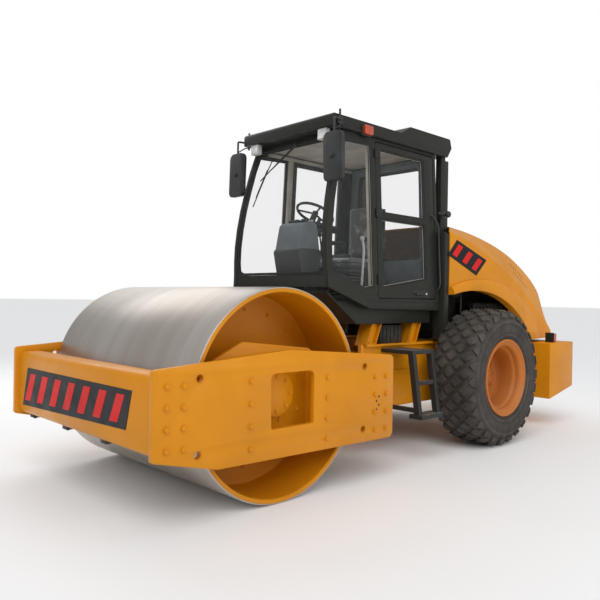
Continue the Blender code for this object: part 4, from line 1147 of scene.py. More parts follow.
class ROLLER_OT_bonnet(bpy.types.Operator):
    """Moulded bonnet with its creases, arch lips, vents and panels"""
    bl_idname = "roller.bonnet"
    bl_label = "Bonnet"

    def execute(self, context):
        finished(self.shell(), "bonnet", "yellow_paint", "bonnet")
        both_sides(self.lip(), "arch_lip_{}", "bonnet", "yellow_paint")
        self.panels()
        self.vents()
        return {"FINISHED"}

    def shell(self):
        work = bmesh.new()
        rows = []
        for crease, crease_z, back, back_z, half in HOOD_SECTIONS:
            points = [(-half + 0.07, back, back_z), (-half, back, back_z - 0.02)]
            points = [(0.0, back, back_z + 0.012), (half - 0.07, back, back_z + 0.002), (half, back, back_z - 0.02),
                      (HOOD_SIDE - 0.012, crease, crease_z + 0.018), (HOOD_SIDE, crease, crease_z - 0.004),
                      (HOOD_SIDE, crease, (crease_z + HOOD_LOW) / 2), (HOOD_SIDE, crease, HOOD_LOW)]
            rows.append([work.verts.new(at(*point)) for point in points])
        crease_layer = work.edges.layers.float.new("crease_edge")
        for ahead, behind in zip(rows, rows[1:]):
            for k in range(len(ahead) - 1):
                work.faces.new((ahead[k], ahead[k + 1], behind[k + 1], behind[k]))
            for k, sharp in ((2, 0.55), (3, 0.75), (4, 0.55), (6, 1.0)):
                edge = work.edges.get((ahead[k], behind[k]))
                edge[crease_layer] = sharp
        for k in range(len(rows[0]) - 1):
            for row in (rows[0], rows[-1]):
                edge = work.edges.get((row[k], row[k + 1]))
                if edge:
                    edge[crease_layer] = 1.0
        mesh = bpy.data.meshes.new("bonnet_shell")
        work.to_mesh(mesh)
        work.free()
        shell = shown("bonnet_shell", mesh)
        both = shell.modifiers.new("both_sides", "MIRROR")
        both.merge_threshold = 0.0001
        fair = shell.modifiers.new("fair", "SUBSURF")
        fair.levels = fair.render_levels = 3
        fair.boundary_smooth = "PRESERVE_CORNERS"
        shell = mended(settled(shell), 30.0)
        skin = shell.modifiers.new("skin", "SOLIDIFY")
        skin.thickness = HOOD_SKIN
        skin.offset = -1
        skin.use_even_offset = True
        cutter = plate("wheel_opening", "YZ", [arc(*ARCH, 0, 355, 143)], -1.0, 1.0)
        opening = shell.modifiers.new("opening", "BOOLEAN")
        opening.operation = "DIFFERENCE"
        opening.solver = "EXACT"
        opening.object = cutter
        shell = settled(shell)
        bpy.data.objects.remove(cutter, do_unlink=True)
        return smoothed(shell, 28.0)

    def lip(self):
        """Flared band between the ridge and the wheel opening, with a turned-in edge."""
        steps, bands = 72, 6
        ridge_turn = (180 - arch_angle((RIDGE[0], RIDGE[1]), station=2 * RIDGE[0][0] - HOOD_FRONT - 0.002),
                      arch_angle(RIDGE, height=HOOD_LOW))
        open_turn = (180 - arch_angle((ARCH[0], ARCH[1]), station=2 * ARCH[0][0] - HOOD_FRONT - 0.002),
                     arch_angle(ARCH, height=HOOD_LOW))
        outer = arc(*RIDGE, *ridge_turn, steps)
        inner = arc(*ARCH, *open_turn, steps)
        work = bmesh.new()
        rows = []
        for (outer_s, outer_z), (inner_s, inner_z) in zip(outer, inner):
            row = [at(HOOD_SIDE - 0.002, outer_s, outer_z)]
            for k in range(bands + 1):
                t = k / bands
                bulge = LIP * (0.40 + 0.60 * math.sin(t * math.pi / 2) ** 0.8)
                share = 0.03 + 0.95 * t
                row.append(at(HOOD_SIDE + bulge, outer_s + (inner_s - outer_s) * share,
                              outer_z + (inner_z - outer_z) * share))
            row.append(at(HOOD_SIDE + LIP - 0.008, inner_s, inner_z))
            row.append(at(HOOD_SIDE - 0.030, inner_s, inner_z))
            row.append(at(HOOD_SIDE - 0.030, inner_s + (outer_s - inner_s) * 0.03, inner_z + (outer_z - inner_z) * 0.03))
            rows.append([work.verts.new(point) for point in row])
        for ahead, behind in zip(rows, rows[1:]):
            for k in range(len(ahead)):
                following = (k + 1) % len(ahead)
                work.faces.new((ahead[k], ahead[following], behind[following], behind[k]))
        for row in (rows[0], rows[-1]):
            work.faces.new(row)
        return from_bmesh("arch_lip", work, 38.0)

    def panels(self):
        """Tilted black panel with plain bars on each side."""
        corners = [(2.747, 2.162), (3.345, 1.976), (3.137, 1.797), (2.580, 1.995)]
        black = plate("black", "YZ", [corners], HOOD_SIDE - 0.002, HOOD_SIDE + 0.0032)
        both_sides(black, "bonnet_panel_{}", "bonnet", "panel_black")
        top_front, top_back, low_back, low_front = (Vector(corner) for corner in corners)
        bars = []
        for number in range(3):
            outline = []
            for across, up in ((0.18, 0.16), (0.62, 0.16), (0.62, 0.84), (0.18, 0.84)):
                share = (number + across + 0.1) / 3.0
                low, high = low_front.lerp(low_back, share), top_front.lerp(top_back, share)
                outline.append(tuple(low.lerp(high, up)))
            bars.append(plate("bar", "YZ", [outline], HOOD_SIDE + 0.0033, HOOD_SIDE + 0.0045))
        both_sides(joined("bars", bars), "bonnet_bars_{}", "bonnet", "stripe_red")

    def vents(self):
        """Two rows of small dark slots on each shoulder, drawn as dark discs on the skin: painted shade in place of
        openings.
        """
        tree = Tree("vents", "dark_plastic", Length=0.016, Width=0.007)
        dot = tree.node("GeometryNodeMeshCylinder", Vertices=14, Radius=1.0, Depth=0.30)
        shape = tree.node("ShaderNodeCombineXYZ", X=tree.size("Length"), Y=tree.size("Width"), Z=0.010)
        slot = tree.moved(dot.outputs["Mesh"], Scale=shape.outputs[0])
        spread = tree.node("GeometryNodeInstanceOnPoints", Points=tree.base, Instance=slot, Rotation=tree.facing())
        tree.close(spread.outputs[0])
        shell = bpy.data.objects["bonnet_shell"]
        spots = []
        for row in range(2):
            for number in range(7):
                station = 4.03 + 0.052 * number + 0.05 * row
                x = 0.655 + 0.035 * row
                hit, place, way, _ = shell.ray_cast(at(x, station, 3.0), Vector((0, 0, -1)))
                if hit:
                    spots.append((place, way))
        vents = smoothed(tree.made(spots_object("vents", spots)))
        both_sides(vents, "bonnet_vents_{}", "bonnet", "dark_plastic")
        # The tail grille's openings are dark discs too: painted shade in place of holes.
        grille = [(Vector((x, 4.93 + DRUM_AXIS.y, z)), Vector((0, 1, 0)))
                  for x in [-0.36 + 0.06 * k for k in range(13)] for z in (1.46, 1.50, 1.54)]
        spots = []
        for place, _ in grille:
            hit, spot, way, _ = shell.ray_cast(place + Vector((0, 1.0, 0)), Vector((0, -1, 0)))
            if hit:
                spots.append((spot, way))
        finished(smoothed(tree.made(spots_object("tail_grille", spots), Length=0.020, Width=0.009)), "bonnet",
                 "dark_plastic")



# ---------------------------------------------------------------- cab

DOOR_FRONT, DOOR_BACK, DOOR_LOW, DOOR_TOP = 1.56, 2.485, 1.53, 3.02
UPPER_LIGHT = [(1.625, 2.345, 0.015), (1.625, 2.965, 0.02), (2.335, 2.965, 0.02), (2.335, 2.345, 0.015)]
LOWER_LIGHT = [(1.625, 1.625, 0.015), (1.625, 2.295, 0.015), (2.335, 2.295, 0.015), (2.335, 1.725, 0.02)]
CAB_PANEL = 0.045
PANES = ("windscreen", "quarter_pane_left", "quarter_pane_right", "rear_pane", "door_pane_left", "door_pane_right")


def outline_of(node):
    """The outline of a flat pane of the cab's left side, as (station, height) before the side leans."""
    work = bmesh.new()
    work.from_mesh(frame["nodes"][node].data)
    bmesh.ops.remove_doubles(work, verts=work.verts, dist=2e-5)
    bmesh.ops.dissolve_limit(work, angle_limit=math.radians(0.8), verts=work.verts, edges=work.edges)
    largest = max(work.faces, key=lambda face: face.calc_area())
    foot = Matrix.Translation(CAB_FOOT)
    upright = foot @ Matrix.Rotation(CAB_LEAN, 4, "Y") @ foot.inverted()
    points = [upright @ corner.co for corner in largest.verts]
    work.free()
    return [(point.y - DRUM_AXIS.y, point.z) for point in points]


def windscreen_line():
    """The curved pane's front, as (station, height) from its foot up."""
    heights = {}
    for corner in frame["nodes"]["windscreen"].data.vertices:
        key = round(corner.co.z, 2)
        heights[key] = min(heights.get(key, 9.0), corner.co.y - DRUM_AXIS.y)
    return [(station, height) for height, station in sorted(heights.items())]


def on_windscreen(height):
    """Station of the windscreen's front at a height."""
    line = windscreen_line()
    for (low_s, low), (high_s, high) in zip(line, line[1:]):
        if low <= height <= high and high > low:
            return low_s + (high_s - low_s) * (height - low) / (high - low)
    return line[-1][0] if height > line[-1][1] else line[0][0]


class ROLLER_OT_cab(bpy.types.Operator):
    """Cab frame, floor, posts and doors with broken edges, rubber seals and seams"""
    bl_idname = "roller.cab"
    bl_label = "Cab"

    def execute(self, context):
        for node, width in (("cab_frame", 0.004), ("cab_floor", 0.006), ("rear_post_left", 0.008),
                            ("rear_post_right", 0.008)):
            finished(softened(node, width, 3), "rear_frame", "cab_grey", node)
        for side in ("left", "right"):
            finished(softened(f"door_{side}", 0.004, 3), f"door_{side}", "cab_grey", f"door_{side}")
        casing = plate("casing", "YZ", [rounded([(2.5405, 1.10, 0.01), (2.5405, 2.24, 0.01), (2.6165, 2.20, 0.02),
                                                 (2.6165, 1.10, 0.02)])], 0.606, 0.742, 0.006)
        both_sides(casing, "post_casing_{}", "rear_frame", "cab_grey")
        self.seals()
        self.hardware()
        self.bolts_and_seams()
        return {"FINISHED"}

    def seals(self):
        outer = CAB_FOOT.x
        rings = []
        for light in (UPPER_LIGHT, LOWER_LIGHT):
            edge = rounded(light, 4)
            rings.append(plate("gasket", "YZ", [inset(edge, 0.0005), inset(edge, 0.016)], outer - 0.034, outer - 0.006,
                               0.002))
        both_sides(leaned(joined("door_gasket", rings)), "door_gasket_{}", "door_{}", "seal")
        lips = [tube("lip", [at(outer - 0.026, *point) for point in inset(rounded(light, 4), 0.018)], 0.0018, True, 2)
                for light in (UPPER_LIGHT, LOWER_LIGHT)]
        both_sides(leaned(joined("door_lip", lips)), "door_glass_lip_{}", "door_{}", "pale_trim")
        quarter = outline_of("quarter_pane_left")
        gasket = plate("gasket", "YZ", [inset(quarter, -0.001), inset(quarter, 0.016)], outer - 0.018, outer - 0.0005,
                       0.002)
        both_sides(leaned(gasket), "quarter_gasket_{}", "rear_frame", "seal")
        lip = tube("lip", [at(outer - 0.014, *point) for point in inset(quarter, 0.018)], 0.0018, True, 2)
        both_sides(leaned(lip), "quarter_glass_lip_{}", "rear_frame", "pale_trim")
        rear = [(height, x) for x, height in self.rear_outline()]
        frame_back = 2.54
        finished(plate("rear_gasket", "ZX", [inset(rear, -0.018), inset(rear, 0.018)], frame_back - 0.0045,
                       frame_back + 0.006, 0.002), "rear_frame", "seal")
        self.windscreen_seal()

    def rear_outline(self):
        low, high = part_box("rear_pane")
        taper = 0.04
        return rounded([(-high.x, low.z, 0.05), (high.x, low.z, 0.05), (high.x - taper, high.z, 0.05),
                        (-high.x + taper, high.z, 0.05)], 5)

    def windscreen_seal(self):
        """Black bands along the curved pane's four edges."""
        line = windscreen_line()
        work = bmesh.new()
        for sign in (1, -1):
            rows = []
            for station, height in line:
                edge = side_x(height) - CAB_PANEL - 0.003
                near, far = sign * (edge - 0.020), sign * edge
                rows.append([work.verts.new(at(x, station + back, height))
                             for x, back in ((near, -0.001), (near, -0.006), (far, -0.006), (far, -0.001))])
            for low, high in zip(rows, rows[1:]):
                for k in range(4):
                    work.faces.new((low[k], low[(k + 1) % 4], high[(k + 1) % 4], high[k]))
            for row in (rows[0], rows[-1]):
                work.faces.new(row)
        sides = from_bmesh("sides", work)
        half_low, half_high = side_x(1.75) - CAB_PANEL - 0.004, side_x(2.98) - CAB_PANEL - 0.004
        foot = block("foot", at(-half_low, line[0][0] - 0.010, 1.731), at(half_low, line[0][0] - 0.0005, 1.756), 0.003)
        head = block("head", at(-half_high, on_windscreen(2.98) - 0.011, 2.968),
                     at(half_high, on_windscreen(2.98) - 0.001, 2.992), 0.003)
        clips = [block("clip", at(x - 0.016, line[0][0] - 0.018, 1.757), at(x + 0.016, line[0][0] - 0.002, 1.785), 0.005)
                 for x in (-half_low + 0.05, half_low - 0.05)]
        finished(joined("windscreen_seal", [sides, foot, head, *clips]), "rear_frame", "seal")

    def hardware(self):
        """Hinges, handle, grab rail and the catch on the rear post."""
        hinge_x = CAB_FOOT.x + 0.010
        hinges = [disc("hinge", 0.011, at(hinge_x, DOOR_FRONT - 0.012, z), at(hinge_x, DOOR_FRONT - 0.012, z + 0.09), 0.003,
                       20) for z in (1.66, 2.29, 2.86)]
        both_sides(leaned(joined("hinges", hinges)), "door_hinges_{}", "rear_frame", "cab_grey")
        leaves = [block("leaf", at(CAB_FOOT.x + GAP, DOOR_FRONT + 0.006, z + 0.010),
                        at(CAB_FOOT.x + 0.006, DOOR_FRONT + 0.055, z + 0.080), 0.002) for z in (1.66, 2.29, 2.86)]
        both_sides(leaned(joined("leaves", leaves)), "hinge_leaves_{}", "door_{}", "cab_grey")
        recess = plate("recess", "YZ", [rounded([(2.10, 1.545, 0.02), (2.10, 1.61, 0.02), (2.35, 1.61, 0.02),
                                                 (2.35, 1.545, 0.02)])], CAB_FOOT.x + GAP, CAB_FOOT.x + 0.005, 0.0015)
        lever = block("lever", at(CAB_FOOT.x + 0.0055, 2.12, 1.562), at(CAB_FOOT.x + 0.030, 2.27, 1.588), 0.007, 3)
        both_sides(leaned(joined("handle", [recess, lever])), "door_handle_{}", "door_{}", "dark_plastic")
        button = disc("button", 0.013, at(CAB_FOOT.x + 0.005, 2.305, 1.578), at(CAB_FOOT.x + 0.016, 2.305, 1.578), 0.003, 24)
        both_sides(leaned(button), "door_lock_{}", "door_{}", "chrome")
        rail = tube("rail", bent([at(0.687, 2.512, 1.62), at(0.722, 2.512, 1.66), at(0.722, 2.512, 2.30),
                                  at(0.700, 2.440, 2.40), at(0.640, 2.430, 2.42)], 0.04), 0.011, sides=4)
        both_sides(leaned_copy(rail, 0.0), "grab_rail_{}", "rear_frame", "dark_plastic")
        post = POST_HIGH
        catch = [disc("stem", 0.017, (post.x + GAP, along(2.70), 2.435), (post.x + 0.055, along(2.70), 2.435), 0.003, 20),
                 disc("knob", 0.034, (post.x + 0.050, along(2.70), 2.435), (post.x + 0.085, along(2.70), 2.435), 0.010, 28),
                 block("seat", at(post.x + GAP, 2.665, 2.40), at(post.x + 0.008, 2.735, 2.47), 0.003)]
        stay = tube("stay", bent([at(post.x + 0.03, 2.70, 2.435), at(post.x + 0.03, 2.58, 2.44),
                                  at(post.x + 0.03, 2.56, 2.44)], 0.01), 0.012, sides=4)
        both_sides(joined("catch", [*catch, stay]), "door_catch_{}", "rear_frame", "dark_plastic")

    def bolts_and_seams(self):
        """Pressed seams along the skirt, and screws of the cab's side."""
        seam = [
            plate("seam", "YZ", [[(1.42, 1.440), (2.53, 1.420), (2.53, 1.426), (1.42, 1.446)]], CAB_FOOT.x + GAP,
                  CAB_FOOT.x + 0.003),
            plate("seam", "YZ", [[(1.40, 1.503), (2.535, 1.488), (2.535, 1.496), (1.40, 1.511)]],
                  CAB_FOOT.x + GAP, CAB_FOOT.x + 0.004, 0.001)]
        both_sides(leaned(joined("seams", seam)), "skirt_seams_{}", "rear_frame", "cab_grey")
        spots = [(at(side_x(z) + 0.0005, s, z), Vector((math.cos(CAB_LEAN), 0, math.sin(CAB_LEAN))))
                 for s, z in ((1.53, 1.56), (1.53, 2.15), (1.53, 2.95), (2.512, 1.56), (2.512, 2.95))]
        bolts_both_sides("cab_screws_{}", "rear_frame", "dark_plastic", spots, 0.006)
        mounts = [(at(x, 2.79, z), Vector((0, 1, 0))) for x in (0.545, 0.585) for z in (1.13, 1.18)]
        bolts_both_sides("post_bolts_{}", "rear_frame", "bare_steel", mounts, 0.010)


def leaned_copy(piece, shift):
    """Leans a piece of the cab's side, after it is moved outwards by shift."""
    piece.data.transform(Matrix.Translation((shift, 0, 0)))
    return leaned(piece)


POST_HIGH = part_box("rear_post_left")[1]
ROOF_LOW, ROOF_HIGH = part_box("cab_roof")


class ROLLER_OT_roof(bpy.types.Operator):
    """Roof with its rounded edges, lamps, mirrors and wiper"""
    bl_idname = "roller.roof"
    bl_label = "Roof, lamps and mirrors"

    def execute(self, context):
        finished(softened("cab_roof", 0.016, 4), "rear_frame", "cab_grey", "cab_roof")
        gutter = [block("gutter", at(ROOF_HIGH.x + GAP - 0.001, 1.06, 3.060), at(ROOF_HIGH.x + 0.008, 2.70, 3.076), 0.002)]
        both_sides(joined("gutter", gutter), "roof_gutter_{}", "rear_frame", "cab_grey")
        self.turn_lamps()
        self.work_lamps()
        self.mirrors()
        self.wiper()
        spots = [(at(x, s, ROOF_HIGH.z), Vector((0, 0, 1))) for x in (-0.5, 0.0, 0.5) for s in (2.16, 2.70)]
        spots += [(at(x, s, 3.17), Vector((0, 0, 1))) for x in (-0.5, 0.5) for s in (1.02, 1.85)]
        bolts("roof_bolts", "rear_frame", "cab_grey", spots, 0.010)
        return {"FINISHED"}

    def turn_lamps(self):
        x = ROOF_HIGH.x
        base = block("base", at(x + GAP, 1.325, 3.035), at(x + 0.012, 1.455, 3.135), 0.004)
        both_sides(base, "turn_lamp_base_{}", "rear_frame", "dark_plastic")
        lamp = block("lamp", at(x + 0.0125, 1.332, 3.042), at(x + 0.052, 1.448, 3.128), 0.012, 4)
        both_sides(lamp, "turn_lamp_{}", "rear_frame", "lamp_red")

    def work_lamps(self):
        low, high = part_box("work_lamp_left")
        inside = Vector((0.006, 0.0, 0.006))
        shell = block("shell", low + Vector((0, 0.012, 0)), high, 0.010, 3)
        rim = block("rim", low + Vector((0, 0.002, 0)), Vector((high.x, low.y + 0.016, high.z)), 0.006, 3)
        both_sides(joined("housing", [shell, rim]), "work_lamp_housing_{}", "rear_frame", "pale_trim")
        pane = block("pane", low + inside, Vector((high.x - 0.006, low.y + 0.010, high.z - 0.006)) + Vector((0, -0.0085, 0)),
                     0.002)
        both_sides(pane, "work_lamp_glass_{}", "rear_frame", "lamp_clear", "work_lamp_{}")

    def mirrors(self):
        low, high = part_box("mirror_left")
        head_low, head_high = at(0.56, 0.885, 2.545), at(0.80, 0.93, 2.985)
        outline = rounded([(2.545, 0.575, 0.05), (2.545, 0.80, 0.05), (2.985, 0.785, 0.06), (2.985, 0.56, 0.06)], 6)
        head = plate("head", "ZX", [outline], 0.888, 0.929, 0.012)
        border = plate("border", "ZX", [inset(outline, 0.012)], 0.882, 0.90, 0.006)
        middle = (head_low + head_high) / 2
        knob = disc("knob", 0.020, (middle.x, head_low.y - 0.022, middle.z), (middle.x, head_low.y, middle.z), 0.006, 28)
        stem = disc("stem", 0.009, (middle.x, head_low.y - 0.030, middle.z), (middle.x, head_low.y - 0.015, middle.z), 0.003)
        route = bent([at(ROOF_HIGH.x + GAP, 1.02, 3.11), at(0.665, 1.02, 3.11), at(middle.x, 0.907, 3.11),
                      at(middle.x, 0.907, 2.96)], 0.02)
        arm = tube("arm", route, 0.010, sides=4)
        post = tube("post", [at(0.640, 1.02, 3.035), at(0.640, 1.02, 3.21)], 0.010, sides=4)
        clamp = block("clamp", at(ROOF_HIGH.x + GAP, 0.99, 3.075), at(ROOF_HIGH.x + 0.028, 1.05, 3.145), 0.006)
        brace = tube("brace", bent([at(0.640, 1.02, 3.06), at(0.665, 0.98, 3.05), at(middle.x - 0.01, 0.907, 3.00)], 0.02),
                     0.006, sides=4)
        both_sides(joined("mirror", [head, border, knob, stem, arm, post, clamp, brace]), "mirror_{}_shown",
                   "rear_frame", "dark_plastic", "mirror_{}")
        face = plate("face", "ZX", [inset(outline, 0.016)], 0.9285, 0.9310)
        both_sides(face, "mirror_glass_{}", "rear_frame", "chrome")

    def wiper(self):
        pivot = at(0.02, on_windscreen(2.985) - 0.030, 2.985)
        elbow = at(-0.39, on_windscreen(2.68) - 0.020, 2.68)
        arm = tube("arm", [pivot, pivot.lerp(elbow, 0.3) + Vector((0, -0.006, 0)), elbow], 0.006, sides=3)
        link = tube("link", [pivot + Vector((0.03, 0, 0.0)), elbow.lerp(pivot, 0.28) + Vector((0.008, -0.004, 0))], 0.004,
                    sides=3)
        heights = [2.88 - 0.046 * k for k in range(11)]
        blade_path = [at(-0.29 - 0.0145 * k, on_windscreen(z) - 0.010, z) for k, z in enumerate(heights)]
        blade = tube("blade", blade_path, 0.0055, sides=3)
        spine = tube("spine", [point + Vector((0, -0.008, 0)) for point in blade_path[2:9]], 0.005, sides=3)
        motor = disc("motor", 0.022, pivot + Vector((0, 0.018, 0)), pivot + Vector((0, -0.012, 0)), 0.005, 24)
        finished(joined("wiper", [arm, link, blade, spine, motor]), "rear_frame", "dark_plastic")


# ---------------------------------------------------------------- inside the cab

CUSHION_CAP = 0.026
SIMULATION_STEPS = 20


class ROLLER_OT_cab_inside(bpy.types.Operator):
    """Linings, consoles, steering wheel, levers and pedals"""
    bl_idname = "roller.cab_inside"
    bl_label = "Cab inside"

    def execute(self, context):
        self.linings()
        self.consoles()
        finished(softened("steering_wheel", 0.003), "rear_frame", "dark_plastic", "steering_wheel")
        self.floor_fittings()
        return {"FINISHED"}

    def linings(self):
        """Pale linings of the roof, pillars and rear wall."""
        inner = CAB_FOOT.x - CAB_PANEL
        finished(plate("roof_lining", "XY", [rounded([(-0.535, 1.13, 0.03), (-0.535, 2.485, 0.03), (0.535, 2.485, 0.03),
                                                      (0.535, 1.13, 0.03)])], 3.030, 3.0535, 0.004),
                 "rear_frame", "headliner")
        pillar = [
            plate("pillar", "YZ", [rounded([(1.495, 1.56, 0.01), (1.495, 2.99, 0.01), (1.549, 2.99, 0.01),
                                            (1.549, 1.56, 0.01)], 3)], inner - 0.030, inner - 0.0005, 0.004),
            plate("rail", "YZ", [rounded([(1.20, 2.992, 0.008), (1.20, 3.026, 0.008), (2.48, 3.026, 0.008),
                                          (2.48, 2.992, 0.008)], 3)], inner - 0.030, inner - 0.002, 0.004)]
        both_sides(leaned(joined("pillar", pillar)), "pillar_lining_{}", "rear_frame", "headliner")
        wall = 2.54 - 0.045
        lining = plate("wall", "ZX", [
            [(1.52, -0.60), (1.52, 0.60), (3.02, 0.52), (3.02, -0.52)],
            rounded([(1.945, -0.465, 0.05), (1.945, 0.465, 0.05), (2.935, 0.425, 0.05), (2.935, -0.425, 0.05)], 5)],
            wall - 0.012, wall - 0.0005, 0.003)
        finished(lining, "rear_frame", "console_plastic")

    def consoles(self):
        column = softened("steering_console", 0.012, 4)
        finished(column, "rear_frame", "console_plastic", "steering_console")
        skirt = plate("skirt", "YZ", [rounded([(1.076, 1.502, 0.01), (0.975, 1.95, 0.04), (0.985, 1.99, 0.03),
                                               (1.262, 1.99, 0.03), (1.275, 1.95, 0.03), (1.248, 1.502, 0.01)], 4)],
                      -0.178, 0.178, 0.008)
        finished(skirt, "rear_frame", "dark_plastic")
        gauges = [disc("gauge", 0.036, at(x, 1.13, 2.253), at(x, 1.135, 2.272), 0.004, 28) for x in (-0.09, 0.0, 0.09)]
        finished(joined("gauges", gauges), "rear_frame", "dark_plastic")
        switches = [block("switch", at(-0.13 + 0.045 * k, 1.19, 2.262), at(-0.10 + 0.045 * k, 1.215, 2.275), 0.003)
                    for k in range(6)]
        finished(joined("switches", switches), "rear_frame", "pale_trim")
        finished(softened("side_console", 0.015, 4), "rear_frame", "console_plastic", "side_console")
        lever = [tube("lever", bent([at(-0.40, 1.86, 2.00), at(-0.40, 1.86, 2.10), at(-0.385, 1.82, 2.20)], 0.04), 0.009),
                 disc("grip", 0.022, at(-0.385, 1.822, 2.19), at(-0.37, 1.80, 2.27), 0.010, 24)]
        finished(joined("drive_lever", lever), "rear_frame", "dark_plastic")
        boot = lathe("boot", [(0.0, 0.0), (0.045, 0.0), (0.038, 0.012), (0.040, 0.018), (0.030, 0.028), (0.031, 0.034),
                              (0.020, 0.045), (0.0, 0.045)], at(-0.40, 1.86, 1.985), 32, (0, 0, 1), closed=False)
        finished(boot, "rear_frame", "seal")
        stand = [tube("stand", bent([at(0.36, 1.66, 1.502), at(0.36, 1.70, 2.02), at(0.30, 1.74, 2.12)], 0.05), 0.012),
                 disc("knob", 0.022, at(0.305, 1.737, 2.11), at(0.285, 1.75, 2.145), 0.008, 24)]
        finished(joined("brake_lever", stand), "rear_frame", "pale_trim")
        collar = tube("column_tube", bent([at(0.0, 1.20, 2.22), at(0.0, 1.27, 2.26), at(0.0, 1.322, 2.288)], 0.03), 0.026)
        finished(collar, "rear_frame", "dark_plastic")

    def floor_fittings(self):
        mat = plate("mat", "XY", [rounded([(-0.56, 1.10, 0.04), (-0.56, 2.46, 0.04), (0.56, 2.46, 0.04),
                                           (0.56, 1.10, 0.04)])], 1.5003, 1.506)
        finished(mat, "rear_frame", "seal")
        pedals = []
        for x in (-0.29, 0.29):
            pedals.append(block("pad", at(x - 0.045, 1.16, 1.60), at(x + 0.045, 1.18, 1.72), 0.008, 3))
            pedals.append(tube("arm", bent([at(x, 1.18, 1.66), at(x, 1.26, 1.62), at(x, 1.30, 1.506)], 0.04), 0.010))
        finished(joined("pedals", pedals), "rear_frame", "dark_plastic")


class ROLLER_OT_seat(bpy.types.Operator):
    """Sprung seat base with its bellows, and the padded cushion and back, swollen by a cloth simulation"""
    bl_idname = "roller.seat"
    bl_label = "Seat"

    def execute(self, context):
        low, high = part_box("seat_base")
        body = [block("foot", (low.x - 0.01, low.y, low.z), (high.x + 0.01, high.y, low.z + 0.05), 0.008, 3),
                block("head", (low.x - 0.005, low.y - 0.02, high.z - 0.035), (high.x + 0.005, high.y + 0.03, high.z), 0.010, 3)]
        folds = 7
        for number in range(folds):
            z = low.z + 0.05 + (high.z - low.z - 0.085) * number / folds
            step = (high.z - low.z - 0.085) / folds
            body.append(block("fold", (low.x + 0.012, low.y + 0.012, z + 0.002), (high.x - 0.012, high.y - 0.012, z + step - 0.002),
                              0.012, 3))
        finished(joined("seat_base_shown", body), "rear_frame", "dark_plastic", "seat_base")
        self.pad("seat_cushion", "seat_pad", 0.55)
        self.pad("seat_back", "backrest_pad", 0.6)
        shell_low, shell_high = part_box("seat_back")
        shell = block("shell", (shell_low.x + 0.01, shell_high.y - 0.018, shell_low.z + 0.03),
                      (shell_high.x - 0.01, shell_high.y + 0.006, shell_high.z - 0.04), 0.012, 3)
        finished(shell, "rear_frame", "dark_plastic")
        shell.name = shell.data.name = "backrest_shell"
        rests = [block("rest", (sign * 0.29 - 0.028, along(1.80), 2.10), (sign * 0.29 + 0.028, along(2.12), 2.145), 0.018, 4)
                 for sign in (1, -1)]
        finished(joined("armrests", rests), "rear_frame", "dark_plastic")
        return {"FINISHED"}

    def pad(self, node, name, fill):
        """A cushion in the node's place: its seams are pulled in and its middle swells."""
        low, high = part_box(node)
        middle, size = (low + high) / 2, high - low
        margin = Vector((0.020, 0.020, 0.018))
        work = bmesh.new()
        bmesh.ops.create_cube(work, size=1.0)
        work.transform(Matrix.Translation(middle) @ Matrix.Diagonal((*(size - margin * 2), 1.0)))
        bmesh.ops.bevel(work, geom=work.edges[:], offset=0.028, segments=4, profile=0.5, affect="EDGES")
        pad = from_bmesh(name, work)
        remesh = pad.modifiers.new("even", "REMESH")
        remesh.mode = "VOXEL"
        remesh.voxel_size = 0.0085
        pad = settled(pad)
        pad = self.swollen(pad, middle, size)
        fair = pad.modifiers.new("fair", "SUBSURF")
        fair.levels = fair.render_levels = 1
        pad = smoothed(settled(pad), 80.0)
        finished(pad, "rear_frame", "seat_cloth", node)
        self.piping(name, middle, size)

    def swollen(self, pad, middle, size):
        """Runs the simulation with the seams held, and caps how far a point moves."""
        rest = [corner.co.copy() for corner in pad.data.vertices]
        flat = min(range(3), key=lambda k: size[k])
        wide = [k for k in range(3) if k != flat]
        seams = pad.vertex_groups.new(name="seams")
        for index, point in enumerate(rest):
            across = abs(point[wide[0]] - middle[wide[0]]) / size[wide[0]]
            held = abs(across - 0.27) < 0.012 and abs(point[flat] - middle[flat]) > size[flat] * 0.3
            border = abs(point[flat] - middle[flat]) < 0.006
            if held or border:
                seams.add([index], 1.0, "REPLACE")
        puff = pad.modifiers.new("puff", "CLOTH")
        puff.settings.use_pressure = True
        puff.settings.uniform_pressure_force = 4.0
        puff.settings.vertex_group_mass = "seams"
        puff.settings.tension_stiffness = puff.settings.compression_stiffness = 8.0
        puff.settings.effector_weights.gravity = 0.0
        puff.collision_settings.use_collision = False
        scene = bpy.context.scene
        for step in range(1, SIMULATION_STEPS + 1):
            scene.frame_set(step)
        name = pad.name
        bpy.context.view_layer.update()
        graph = bpy.context.evaluated_depsgraph_get()
        moved = [corner.co.copy() for corner in pad.evaluated_get(graph).data.vertices]
        pad.modifiers.clear()
        pad.vertex_groups.clear()
        for corner, start, end in zip(pad.data.vertices, rest, moved):
            shift = end - start
            corner.co = start + shift * min(1.0, CUSHION_CAP / max(shift.length, 1e-9))
        scene.frame_set(1)
        pad.name = name
        return pad

    def piping(self, name, middle, size):
        """A cord sewn round the pad's edge."""
        flat = min(range(3), key=lambda k: size[k])
        a, b = [k for k in range(3) if k != flat]
        half_a, half_b = size[a] / 2 - 0.014, size[b] / 2 - 0.014
        loop = rounded([(-half_a, -half_b, 0.035), (half_a, -half_b, 0.035), (half_a, half_b, 0.035),
                        (-half_a, half_b, 0.035)], 6)
        path = []
        for first, second in loop:
            point = middle.copy()
            point[a] += first
            point[b] += second
            path.append(point)
        piping = tube(f"{name}_piping", path, 0.0045, closed=True, sides=3)
        finished(piping, "rear_frame", "seal")


# ---------------------------------------------------------------- studio

CAMERA_PLACE = Vector((4.616, -5.1725, 1.513))
CAMERA_HEADING = math.radians(46.45)
CAMERA_TILT = math.radians(-0.14)
CAMERA_ROLL = math.radians(0.93)


